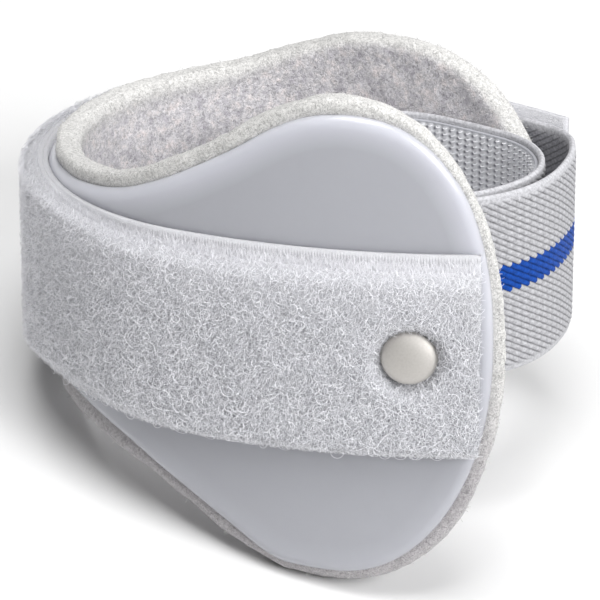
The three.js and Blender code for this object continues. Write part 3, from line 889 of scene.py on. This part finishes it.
for part in range(PILE_PIECES):
    mine = np.arange(part, fibre_count, PILE_PIECES)
    fibre_points, fibre_faces = ribbons(fibre_paths[mine], fibre_wide[mine], fibre_facing[mine])
    make_piece(
        f"loop_pile_{part + 1}", fibre_points, fibre_faces, nylon_loops, "loop_tape")

# %% [markdown]
# ## Loops that have pulled out
# Along the lower edge and here and there on the pile whole loops stand clear. They are most of a circle,
# about a millimetre in radius. They stand alone, so they are round tubes and not ribbons.

# %% Tube maker


def strands(paths, radius, sides):
    """Points and faces of fine tubes along paths (strand, spot, xyz), with pointed tips."""
    count, spots = paths.shape[:2]
    along = np.gradient(paths, axis=1)
    along /= np.maximum(np.linalg.norm(along, axis=2), 1e-9)[..., None]
    third = spots // 3
    flat = np.cross(paths[:, third] - paths[:, 0], paths[:, 2 * third] - paths[:, third]) + (1e-6, 2e-6, 3e-6)
    side = np.cross(along, flat[:, None])
    side /= np.maximum(np.linalg.norm(side, axis=2), 1e-9)[..., None]
    rise = np.cross(side, along)
    turn = np.arange(sides) * 2 * math.pi / sides
    ring = np.cos(turn)[:, None] * side[:, 1:-1, None] + np.sin(turn)[:, None] * rise[:, 1:-1, None]
    tubes = (paths[:, 1:-1, None] + ring * radius).reshape(count, -1, 3)
    points = np.concatenate([paths[:, :1], tubes, paths[:, -1:]], 1)
    each = points.shape[1]
    base = (np.arange(count) * each)[:, None, None]
    index = base + 1 + np.arange((spots - 2) * sides).reshape(1, spots - 2, sides)
    after = np.roll(index, -1, 2)
    root = np.broadcast_to(base[:, 0], (count, sides))
    first = np.stack([root, after[:, 0], index[:, 0]], -1).reshape(-1, 3)
    last = np.stack([root + each - 1, index[:, -1], after[:, -1]], -1).reshape(-1, 3)
    return points.reshape(-1, 3), [ring_walls(index), np.concatenate([first, last])]


# %% Make the loose loops
LOOSE_EDGE = 50
LOOSE_FACE = 260
LOOSE_SPOTS = 13
LOOSE_RADII = (0.6, 1.4)
LOOSE_ARCS = (4.0, 5.6)   # how far round each loop goes, in radians
LOOSE_YARN = 0.055
loose_draw = np.random.default_rng(57)
loose_arc = loose_draw.uniform(STRAP_BACK_END + 2, STRAP_FRONT_END - 2, LOOSE_EDGE + LOOSE_FACE)
loose_z = np.concatenate([
    np.full(LOOSE_EDGE, -STRAP_HALF + 0.2), loose_draw.uniform(-STRAP_HALF + 1, STRAP_HALF - 3, LOOSE_FACE)])
loose_keep = rivet_distance(loose_arc, loose_z) > PRESSED_TO
loose_arc, loose_z = loose_arc[loose_keep][:, None], loose_z[loose_keep][:, None]
loose_count = len(loose_arc)
at_edge = loose_z < -STRAP_HALF + 0.5
loose_radius = loose_draw.uniform(*LOOSE_RADII, (loose_count, 1))
loose_start = np.where(at_edge, math.pi * 0.85, loose_draw.uniform(0, 6.28, (loose_count, 1)))
loose_round = loose_draw.uniform(*LOOSE_ARCS, (loose_count, 1))
loose_angle = loose_start + np.linspace(0, 1, LOOSE_SPOTS) * loose_round
loose_high = np.where(
    at_edge, loose_draw.uniform(0.3, 0.9, (loose_count, 1)),
    pile_share(loose_arc, loose_z) * (PILE_BODY + PILE_OPENS))
loose_lean = loose_draw.uniform(-0.5, 0.5, (loose_count, 1))
loose_paths = on_wall(
    loose_arc + loose_radius * np.cos(loose_angle),
    loose_high + strap_lift(loose_arc) + loose_lean * loose_radius * np.sin(loose_angle),
    tucked(loose_arc, loose_z) + loose_radius * np.sin(loose_angle) * np.where(at_edge, 0.8, 1.0))
loose_points, loose_faces = strands(loose_paths, LOOSE_YARN, 3)
make_piece("loose_loops", loose_points, loose_faces, nylon_loops, "loop_tape")

# %% [markdown]
# ## Selvedge of the tape
# Along its upper edge the tape is bare. The knit shows there as a faint comb of yarns square to the edge,
# about 0.5 mm apart and half sunk in the ground, which run in under the pile. One thin cord binds the edge.

# %% Make the selvedge
YARN_PITCH = 0.54
YARN_RADIUS = 0.3
CORD_RADIUS = 0.2
yarn_arc = np.arange(STRAP_BACK_END + 0.4, STRAP_FRONT_END - 0.3, YARN_PITCH)[:, None]
yarn_z = np.array((19.95, 19.8, 18.8, 17.6, 16.4))[None]
yarn_high = np.array((-0.12, -0.03, -0.04, -0.07, -0.3))[None]
yarn_paths = on_wall(yarn_arc, yarn_high + strap_lift(yarn_arc), yarn_z)
yarn_points, yarn_faces = strands(yarn_paths, YARN_RADIUS, 6)
selvedge = make_piece("selvedge_yarns", yarn_points, yarn_faces, nylon_mat, "loop_tape", bare=1.0)
cord_arc = np.linspace(STRAP_BACK_END, STRAP_FRONT_END, 300)[None]
cord_paths = on_wall(cord_arc, strap_lift(cord_arc) - 0.1, STRAP_HALF - 0.05)
cord_points, cord_faces = strands(cord_paths, CORD_RADIUS, 6)
binding = make_piece("selvedge_binding", cord_points, cord_faces, nylon_mat, "loop_tape", bare=1.0)

# %% [markdown]
# ## Finish of the elastic
# A rib-knitted elastic of white textured yarn over rubber, with one blue stripe knitted in. The ribs lean
# across the strap, so the stripe's edges step from rib to rib. The stripe is worked out from two measures
# that the mesh carries, the distance along the strap and across it, so it bends with the strap.

# %% Ribs and stripe of the knitted elastic
ELASTIC_HALF = 18.6
RIB_SLOPE = 0.6   # rise across the strap for each millimetre along it
RIB_PITCH = 1.09
STRIPE_MIDDLE = 1.2
STRIPE_HALF = 2.6
rib_lean = math.atan(RIB_SLOPE)
RIB_ACROSS = math.cos(rib_lean) / RIB_PITCH
RIB_ALONG = -math.sin(rib_lean) / RIB_PITCH
elastic_knit, tree, shader = start_material(
    "rib_knitted_elastic", Roughness=0.85, Sheen_Weight=0.08, Sheen_Roughness=0.5,
    Specular_IOR_Level=0.15)
along = add_node(tree, "Attribute", attribute_name="along_mm")
across = add_node(tree, "Attribute", attribute_name="across_mm")
part_along = add_node(tree, "Math", {0: along.outputs["Fac"]}, {1: RIB_ALONG}, operation="MULTIPLY")
rib_count = add_node(
    tree, "Math", {0: across.outputs["Fac"], 2: part_along.outputs[0]}, {1: RIB_ACROSS},
    operation="MULTIPLY_ADD")
in_rib = add_node(tree, "Math", {0: rib_count.outputs[0]}, operation="FRACT")
rib_middle = add_node(tree, "Math", {0: in_rib.outputs[0]}, {1: 0.5}, operation="SUBTRACT")
stepped = add_node(
    tree, "Math", {0: rib_middle.outputs[0], 2: across.outputs["Fac"]},
    {1: -RIB_PITCH * math.cos(rib_lean)}, operation="MULTIPLY_ADD")
stripe = add_node(
    tree, "Math", {0: stepped.outputs[0]}, {1: STRIPE_MIDDLE, 2: STRIPE_HALF}, operation="COMPARE")
print("ribs", RIB_PITCH, "mm apart, leaning", round(math.degrees(rib_lean), 1), "degrees")

# %% Stitches of the knitted elastic
STITCH_MM = 0.55
BEAD_MM = 0.95   # the stitches stand along each rib like beads
PLAIN_EDGE = (1.0, 1.8)   # the ribs start between these distances from the strap's edges
strap_spot = add_node(tree, "CombineXYZ", {"X": along.outputs["Fac"], "Y": across.outputs["Fac"]})
stitches = add_node(
    tree, "TexNoise", {"Vector": strap_spot.outputs[0]},
    {"Scale": 1 / STITCH_MM, "Detail": 2, "Roughness": 0.6})
stitch_shade = add_node(
    tree, "MapRange", {"Value": stitches.outputs["Fac"]},
    {"From Min": 0.35, "From Max": 0.6, "To Min": 0.72, "To Max": 1.0})
# Painted shade: the dips between the beads along each rib are darkened.
beads = add_node(
    tree, "Math", {0: along.outputs["Fac"], 2: in_rib.outputs[0]}, {1: 1 / BEAD_MM},
    operation="MULTIPLY_ADD")
bead_wave = add_node(tree, "Math", {0: beads.outputs[0]}, {1: 1.0}, operation="PINGPONG")
bead_painted_shade = add_node(tree, "MapRange", {"Value": bead_wave.outputs[0]}, {"To Min": 0.8, "To Max": 1.0})
# Painted shade: the grooves between the ribs are darkened.
groove = add_node(tree, "Math", {0: rib_middle.outputs[0], 1: rib_middle.outputs[0]}, operation="MULTIPLY")
groove_painted_shade = add_node(
    tree, "MapRange", {"Value": groove.outputs[0]},
    {"From Min": 0.05, "From Max": 0.25, "To Min": 1.0, "To Max": 0.42})
edge_side = add_node(tree, "Math", {0: across.outputs["Fac"]}, operation="ABSOLUTE")
ribbed = add_node(
    tree, "MapRange", {"Value": edge_side.outputs[0]},
    {"From Min": ELASTIC_HALF - PLAIN_EDGE[0], "From Max": ELASTIC_HALF - PLAIN_EDGE[1],
     "To Min": 0.0, "To Max": 1.0})
rib_painted_shade = add_node(
    tree, "Math", {0: bead_painted_shade.outputs["Result"], 1: groove_painted_shade.outputs["Result"]}, operation="MULTIPLY")
rib_tone_and_painted_shade = add_node(
    tree, "Math", {0: stitch_shade.outputs["Result"], 1: rib_painted_shade.outputs[0]}, operation="MULTIPLY")
knit_tone_and_painted_shade = add_node(
    tree, "Mix", {0: ribbed.outputs["Result"], 2: stitch_shade.outputs["Result"], 3: rib_tone_and_painted_shade.outputs[0]},
    data_type="FLOAT")
print("stitches", STITCH_MM, "mm, beads", BEAD_MM, "mm")

# %% Colour of the knitted elastic
inner_side_measure = add_node(tree, "Attribute", attribute_name="inner_side")
yarn_tint = add_node(
    tree, "Mix", {0: stripe.outputs[0]}, {6: linear("#bebec2"), 7: linear("#0c49a6")}, data_type="RGBA")
knit = add_node(
    tree, "Mix", {6: yarn_tint.outputs[2], 7: knit_tone_and_painted_shade.outputs[0]}, {0: 1.0},
    data_type="RGBA", blend_type="MULTIPLY")
# Painted shade: the elastic's inner side is darker.
inner_side_painted_shade = add_node(
    tree, "Mix", {0: inner_side_measure.outputs["Fac"], 6: knit.outputs[2]}, {7: linear("#d0d0d4")},
    data_type="RGBA", blend_type="MULTIPLY")
tree.links.new(inner_side_painted_shade.outputs[2], shader.inputs["Base Color"])
stitch_bump = add_node(
    tree, "Bump", {"Height": stitches.outputs["Fac"]}, {"Strength": 0.7, "Distance": 0.2 * MM})
tree.links.new(stitch_bump.outputs["Normal"], shader.inputs["Normal"])
print("stripe", 2 * STRIPE_HALF, "mm wide")

# %% [markdown]
# ## Elastic strap
# The elastic leaves the back paddle, crosses the open side and curls back into the clasp. Its middle line is
# a chain of arcs, each with its own length and turn, as the solid has it. The ribs are real relief in the
# mesh, because they catch the light along the whole curl and show in the outline.

# %% Route of the elastic
ELASTIC_ROOT = -86.0
ELASTIC_LEAVES = -112.8
ELASTIC_DROP = 0.2
ELASTIC_THICK = 1.4
ELASTIC_HEIGHT = -0.2   # of its middle, where it is rooted on the back paddle
ELASTIC_RUNS = (   # length in millimetres and turn towards the inside in degrees
    (ELASTIC_ROOT - ELASTIC_LEAVES, math.degrees((ELASTIC_ROOT - ELASTIC_LEAVES) / ARM_RADIUS)),
    (9.5, 56.5), (14.8, 15.5), (60.0, 114.7), (68.0, 165.3), (13.3, 5.2), (30.0, 96.0), (22.0, 42.0))
ELASTIC_LENGTH = sum(length for length, turn in ELASTIC_RUNS)


def on_elastic(along, across, left):
    """Upright millimetres of spots along, across and to the left (outside) of the elastic's middle line."""
    along, across, left = np.broadcast_arrays(*(np.asarray(value, float) for value in (along, across, left)))
    x, y = on_wall(ELASTIC_ROOT, ELASTIC_HEIGHT, 0)[:2]
    out = wall(np.array(ELASTIC_ROOT))[2]
    heading = math.atan2(-out[0], out[1])
    spot = np.zeros(along.shape + (3,))
    at = 0.0
    for length, degrees in ELASTIC_RUNS:
        turn = math.radians(degrees)
        radius = length / turn
        ways = heading - turn * (along - at) / length
        there = np.stack([
            x + radius * (math.sin(heading) - np.sin(ways)) - np.sin(ways) * left,
            y - radius * (math.cos(heading) - np.cos(ways)) + np.cos(ways) * left,
            across - ELASTIC_DROP], -1)
        spot = np.where((along >= at)[..., None], there, spot)
        x += radius * (math.sin(heading) - math.sin(heading - turn))
        y -= radius * (math.cos(heading) - math.cos(heading - turn))
        heading -= turn
        at += length
    return spot


print("elastic", round(ELASTIC_LENGTH, 1), "mm long")

# %% Rows and ribs of the elastic
EDGE_ROUND = 0.6
RIB_DEPTH = 0.55


def strip_rows(half, edge, count):
    """Places across a strip, closer together round its two edges."""
    turn = np.linspace(0, math.pi / 2, 5)[:-1]
    edge_places = half - edge * (1 - np.cos(turn))
    middle = np.linspace(-half + edge, half - edge, count - 2 * len(turn))
    return np.concatenate([-edge_places, middle, edge_places[::-1]])


def strip_half_thickness(across, half, edge):
    """Share of the strip's half thickness that is left near a rounded edge."""
    past = np.clip((np.abs(across) - (half - edge)) / edge, 0, 1)
    return np.sqrt(1 - past**2)


def ribs(along, across):
    """Rounded ribs from 0 in the groove to 1 on the crest, fading out at the selvedges."""
    inside = (across * RIB_ACROSS + along * RIB_ALONG) % 1.0
    crest = np.sqrt(np.clip(1 - (2 * inside - 1) ** 2, 0, 1))
    fade = smooth_step(ELASTIC_HALF - np.abs(across), 0.7, 1.9)
    selvedge_level = np.where(across > 0, 0.6, 0.25)
    return selvedge_level + (crest - selvedge_level) * fade


print("ribs", RIB_DEPTH, "mm deep")

# %% Make the elastic
ELASTIC_STATIONS = 460
ELASTIC_ROWS = 138
ELASTIC_INNER_ROWS = 24
CREST_PROUD = 0.05
BULGE = 1.3   # the strap bows out a little past the back paddle
BULGE_RISES = (28, 44)
BULGE_FALLS = (60, 85)
elastic_along = np.linspace(0, ELASTIC_LENGTH, ELASTIC_STATIONS)[:, None]
outer_across = strip_rows(ELASTIC_HALF, EDGE_ROUND, ELASTIC_ROWS)[None]
inner_across = strip_rows(ELASTIC_HALF, EDGE_ROUND, ELASTIC_INNER_ROWS + 2)[::-1][1:-1][None]
outer_left = (ELASTIC_THICK / 2 + CREST_PROUD) * strip_half_thickness(outer_across, ELASTIC_HALF, EDGE_ROUND)
outer_left = outer_left - RIB_DEPTH * (1 - ribs(elastic_along, outer_across))
inner_left = -ELASTIC_THICK / 2 * strip_half_thickness(inner_across, ELASTIC_HALF, EDGE_ROUND)
bulge = BULGE * smooth_step(elastic_along, *BULGE_RISES) * (1 - smooth_step(elastic_along, *BULGE_FALLS))
elastic_points = np.concatenate([
    on_elastic(elastic_along, outer_across, outer_left + bulge),
    on_elastic(elastic_along, inner_across, inner_left + bulge)], 1)
both_across = np.concatenate([outer_across, inner_across], 1)
on_inner = np.arange(both_across.size) >= ELASTIC_ROWS
ribbed_elastic = make_piece(
    "ribbed_elastic", elastic_points, band(ELASTIC_STATIONS, ELASTIC_ROWS, ELASTIC_INNER_ROWS), elastic_knit,
    "elastic", ["elastic_strap"], along_mm=elastic_along, across_mm=both_across,
    inner_side=smooth_step(ELASTIC_HALF - np.abs(both_across), 0.6, 1.8) * on_inner)

# %% [markdown]
# ## Finish of the hook tape
# Woven nylon with cut hooks. The hooks stand so close that they read as a pale lattice, and the ground
# between them lies in shade, painted as dark dots 1.8 mm apart along the strap and 1.2 mm across it.

# %% Woven hook nylon
HOOK_COLUMN = 1.78
HOOK_ROW = 1.2
DOT_MM = 0.56   # radius of a dark dot
UNEVEN_MM = 2.2   # over this length the rows of hooks wander
WEAVE_MM = 0.5
hook_nylon, tree, shader = start_material("woven_hook_nylon", Roughness=0.5, IOR=1.53)
along = add_node(tree, "Attribute", attribute_name="along_mm")
across = add_node(tree, "Attribute", attribute_name="across_mm")
facing = add_node(tree, "Attribute", attribute_name="hook_field")
strap_spot = add_node(tree, "CombineXYZ", {"X": along.outputs["Fac"], "Y": across.outputs["Fac"]})
uneven = add_node(tree, "TexNoise", {"Vector": strap_spot.outputs[0]}, {"Scale": 1 / UNEVEN_MM, "Detail": 2})
nudge = add_node(
    tree, "VectorMath", {0: uneven.outputs["Color"], 2: strap_spot.outputs[0]}, {1: (0.6, 0.6, 0)},
    operation="MULTIPLY_ADD")
nudged = add_node(tree, "SeparateXYZ", {0: nudge.outputs[0]})
away = []
for axis, pitch in (("X", HOOK_COLUMN), ("Y", HOOK_ROW)):
    cell = add_node(
        tree, "Math", {0: nudged.outputs[axis]}, {1: 1 / pitch, 2: -0.3 / pitch}, operation="MULTIPLY_ADD")
    part = add_node(tree, "Math", {0: cell.outputs[0]}, operation="FRACT")
    shift = add_node(
        tree, "Math", {0: part.outputs[0]}, {1: pitch, 2: -pitch / 2}, operation="MULTIPLY_ADD")
    away.append(shift.outputs[0])
from_dot = add_node(tree, "CombineXYZ", {"X": away[0], "Y": away[1]})
dot_distance = add_node(tree, "VectorMath", {0: from_dot.outputs[0]}, operation="LENGTH")
# Painted shade: dark dots where the ground between the hooks lies in shade.
dot = add_node(
    tree, "MapRange", {"Value": dot_distance.outputs["Value"]},
    {"From Min": DOT_MM, "From Max": DOT_MM - 0.45, "To Min": 0.0, "To Max": 1.0})
dot_here = add_node(tree, "Math", {0: dot.outputs["Result"], 1: facing.outputs["Fac"]}, operation="MULTIPLY")
weave = add_node(tree, "TexNoise", {"Vector": strap_spot.outputs[0]}, {"Scale": 1 / WEAVE_MM, "Detail": 2})
weave_tint = add_node(
    tree, "Mix", {0: weave.outputs["Fac"]}, {6: linear("#dadbdf"), 7: linear("#f0f0f3")}, data_type="RGBA")
dots_painted_shade = add_node(
    tree, "Mix", {0: dot_here.outputs[0], 6: weave_tint.outputs[2]}, {7: linear("#7d7e85")}, data_type="RGBA")
# Painted shade: the strip's edges and back are darker.
border = add_node(tree, "Attribute", attribute_name="border")
border_painted_shade = add_node(
    tree, "Mix", {0: border.outputs["Fac"], 6: dots_painted_shade.outputs[2]}, {7: linear("#a6a7ad")}, data_type="RGBA")
tree.links.new(border_painted_shade.outputs[2], shader.inputs["Base Color"])
weave_bump = add_node(
    tree, "Bump", {"Height": weave.outputs["Fac"]}, {"Strength": 0.5, "Distance": 0.1 * MM})
tree.links.new(weave_bump.outputs["Normal"], shader.inputs["Normal"])
print("dots", HOOK_COLUMN, "by", HOOK_ROW, "mm apart")

# %% [markdown]
# ## Hook tape
# The free end of the elastic carries the hook half of the fastening on its inner side. Its face is pitted
# where the dots are, and a small arch of nylon stands at each crossing of the lattice.

# %% Make the hook strip
HOOK_LENGTH = 92.0
HOOK_HALF = 17.6
HOOK_FIELD = 17.3
HOOK_OUTER = -0.85
HOOK_INNER = -1.5
HOOK_EDGE = 0.2
PIT_DEPTH = 0.3
HOOK_STATIONS = 250
HOOK_ROWS = 90
HOOK_BACK_ROWS = 10
hook_along = np.linspace(ELASTIC_LENGTH - HOOK_LENGTH, ELASTIC_LENGTH, HOOK_STATIONS)[:, None]
hook_across = strip_rows(HOOK_HALF, HOOK_EDGE, HOOK_ROWS)[None]
hook_back_across = strip_rows(HOOK_HALF, HOOK_EDGE, HOOK_BACK_ROWS + 2)[::-1][1:-1][None]
pit_along = hook_along % HOOK_COLUMN - HOOK_COLUMN / 2
pit_across = hook_across % HOOK_ROW - HOOK_ROW / 2
pit = np.exp(-(np.hypot(pit_along, pit_across) / DOT_MM) ** 4) * (np.abs(hook_across) < HOOK_FIELD)
hook_middle = (HOOK_OUTER + HOOK_INNER) / 2
hook_thick = (HOOK_OUTER - HOOK_INNER) / 2
hook_face = hook_middle + PIT_DEPTH * pit
hook_face = hook_face - hook_thick * strip_half_thickness(hook_across, HOOK_HALF, HOOK_EDGE)
hook_back = hook_middle + hook_thick * strip_half_thickness(hook_back_across, HOOK_HALF, HOOK_EDGE)
strip_points = np.concatenate([
    on_elastic(hook_along, hook_across, hook_face), on_elastic(hook_along, hook_back_across, hook_back)], 1)
strip_across = np.concatenate([hook_across, hook_back_across], 1)
strip_face = (np.arange(strip_across.size) < HOOK_ROWS) & (np.abs(strip_across) < HOOK_FIELD)
hook_strip = make_piece(
    "hook_strip", strip_points, band(HOOK_STATIONS, HOOK_ROWS, HOOK_BACK_ROWS), hook_nylon,
    "hook_nylon", ["hook_tape"],
    along_mm=hook_along, across_mm=strip_across, hook_field=strip_face, border=~strip_face)

# %% Make the hooks
HOOK_HEIGHT = 0.75
HOOK_WIDTH = 0.7
HOOK_YARN = 0.1
HOOK_TURN = 0.3
HOOK_SUNK = 0.1   # how deep the feet of a hook stand in the strip
first_row = math.ceil((ELASTIC_LENGTH - HOOK_LENGTH + 0.5) / HOOK_COLUMN) * HOOK_COLUMN
row_along = np.arange(first_row, ELASTIC_LENGTH - 0.8, HOOK_COLUMN)
row_across = np.arange(-14, 15) * HOOK_ROW
hook_at, hook_over = (grid.ravel() for grid in np.meshgrid(row_along, row_across, indexing="ij"))
hook_draw = np.random.default_rng(71)
arch = np.linspace(0, 1.25 * math.pi, 7)[None]
hook_turn = hook_draw.normal(0, HOOK_TURN, len(hook_at))[:, None]
hook_reach = HOOK_WIDTH / 2 * (-np.cos(arch))
hook_paths = on_elastic(
    hook_at[:, None] + hook_reach * np.cos(hook_turn),
    hook_over[:, None] + hook_reach * np.sin(hook_turn),
    HOOK_INNER - HOOK_HEIGHT * np.sin(arch) + HOOK_SUNK)
hook_points, hook_faces = strands(hook_paths, HOOK_YARN, 3)
hooks = make_piece(
    "hooks", hook_points, hook_faces, hook_nylon, "hook_nylon",
    along_mm=0.0, across_mm=hook_points[:, 2], hook_field=0.0, border=0.0)
print(len(hook_at), "hooks")

# %% [markdown]
# ## Rivets
# A rivet through strap and shell holds each end of the tape: a domed head on the pile, with a thin lip round
# its foot, and a flat tail under the felt. It is plain turned work, so a profile is spun round its axis. The
# head sits a little tilted in the pile. It is nickel plated and tumbled to a satin shine.

# %% Satin nickel plate
satin_nickel, tree, shader = start_material(
    "satin_nickel_plate", Base_Color=linear("#c7c4c0"), Metallic=1.0)
place = add_node(tree, "TexCoord")
SCRATCH_MM = 0.4
tumbled = add_node(
    tree, "TexNoise", {"Vector": place.outputs["Object"]}, {"Scale": 1 / (SCRATCH_MM * MM), "Detail": 3})
satin = add_node(
    tree, "MapRange", {"Value": tumbled.outputs["Fac"]},
    {"From Min": 0.3, "From Max": 0.7, "To Min": 0.59, "To Max": 0.7})
tree.links.new(satin.outputs["Result"], shader.inputs["Roughness"])
dents = add_node(
    tree, "Bump", {"Height": tumbled.outputs["Fac"]}, {"Strength": 0.2, "Distance": 0.03 * MM})
tree.links.new(dents.outputs["Normal"], shader.inputs["Normal"])
print("tumbling marks", SCRATCH_MM, "mm")

# %% Spin the rivets
HEAD_RADIUS = 5.1
HEAD_LIP = 0.25
HEAD_TILT = math.radians(6)   # the head is drawn down further at its upper side
HEAD_RIM = 0.9
HEAD_HEIGHT = 2.7
SHANK_RADIUS = 1.9
TAIL_RADIUS = 3.6
TAIL_TOP = -3.5
TAIL_THICK = 0.8
TAIL_CHAMFER = 0.2
HEAD_SEAT = 0.6   # height of the head's underside over the wall, apart from the strap's lift
RIVET_RAISED = 0.35
RIVET_SIDES = 64
dome = np.linspace(0, math.pi / 2, 14)[:-1]
for name, (node, arc, lift) in RIVETS.items():
    under = HEAD_SEAT + lift
    profile = [
        (TAIL_RADIUS - TAIL_CHAMFER, TAIL_TOP - TAIL_THICK),
        (TAIL_RADIUS, TAIL_TOP - TAIL_THICK + TAIL_CHAMFER),
        (TAIL_RADIUS, TAIL_TOP), (SHANK_RADIUS, TAIL_TOP), (SHANK_RADIUS, under),
        (HEAD_RADIUS + HEAD_LIP - 0.1, under), (HEAD_RADIUS + HEAD_LIP, under + 0.15),
        (HEAD_RADIUS + HEAD_LIP - 0.1, under + 0.35), (HEAD_RADIUS - 0.1, under + 0.38),
        (HEAD_RADIUS, under + HEAD_RIM - 0.2)]
    crown = HEAD_HEIGHT - HEAD_RIM
    profile += [(HEAD_RADIUS * math.cos(a), under + HEAD_RIM + crown * math.sin(a)) for a in dome]
    radius, height = np.array(profile).T
    turn = np.arange(RIVET_SIDES) * 2 * math.pi / RIVET_SIDES
    out = np.array((*wall(np.array(arc))[2], 0))
    forward = np.array((out[1], -out[0], 0.0))
    tilt = np.where(height >= under, HEAD_TILT, 0.0)[:, None, None]
    axis = out * np.cos(tilt) + (0, 0, 1) * np.sin(tilt)
    upward = (0, 0, 1) * np.cos(tilt) - out * np.sin(tilt)
    seat = on_wall(arc, under, RIVET_RAISED)
    rings = (seat + axis * (height - under)[:, None, None]
             + radius[:, None, None] * (np.cos(turn)[:, None] * forward + np.sin(turn)[:, None] * upward))
    tail = seat + out * (TAIL_TOP - TAIL_THICK - under)
    tip = seat + axis[-1, 0] * HEAD_HEIGHT
    index = np.arange(len(profile) * RIVET_SIDES).reshape(len(profile), RIVET_SIDES)
    after = np.roll(index, -1, 1)
    low = np.full(RIVET_SIDES, index.size)
    fans = np.concatenate([
        np.stack([low, after[0], index[0]], -1), np.stack([low + 1, index[-1], after[-1]], -1)])
    rivet_points = np.concatenate([rings.reshape(-1, 3), [tail, tip]])
    make_piece(name, rivet_points, [ring_walls(index), fans], satin_nickel, "rivet_metal", [node])

# %% [markdown]
# The triangles of all the pieces are added up. The dressed model has to keep the imported model's size,
# apart from what loose fabric may stand proud.

# %% Count the triangles
print(sum(triangles_made.values()), "triangles in all")
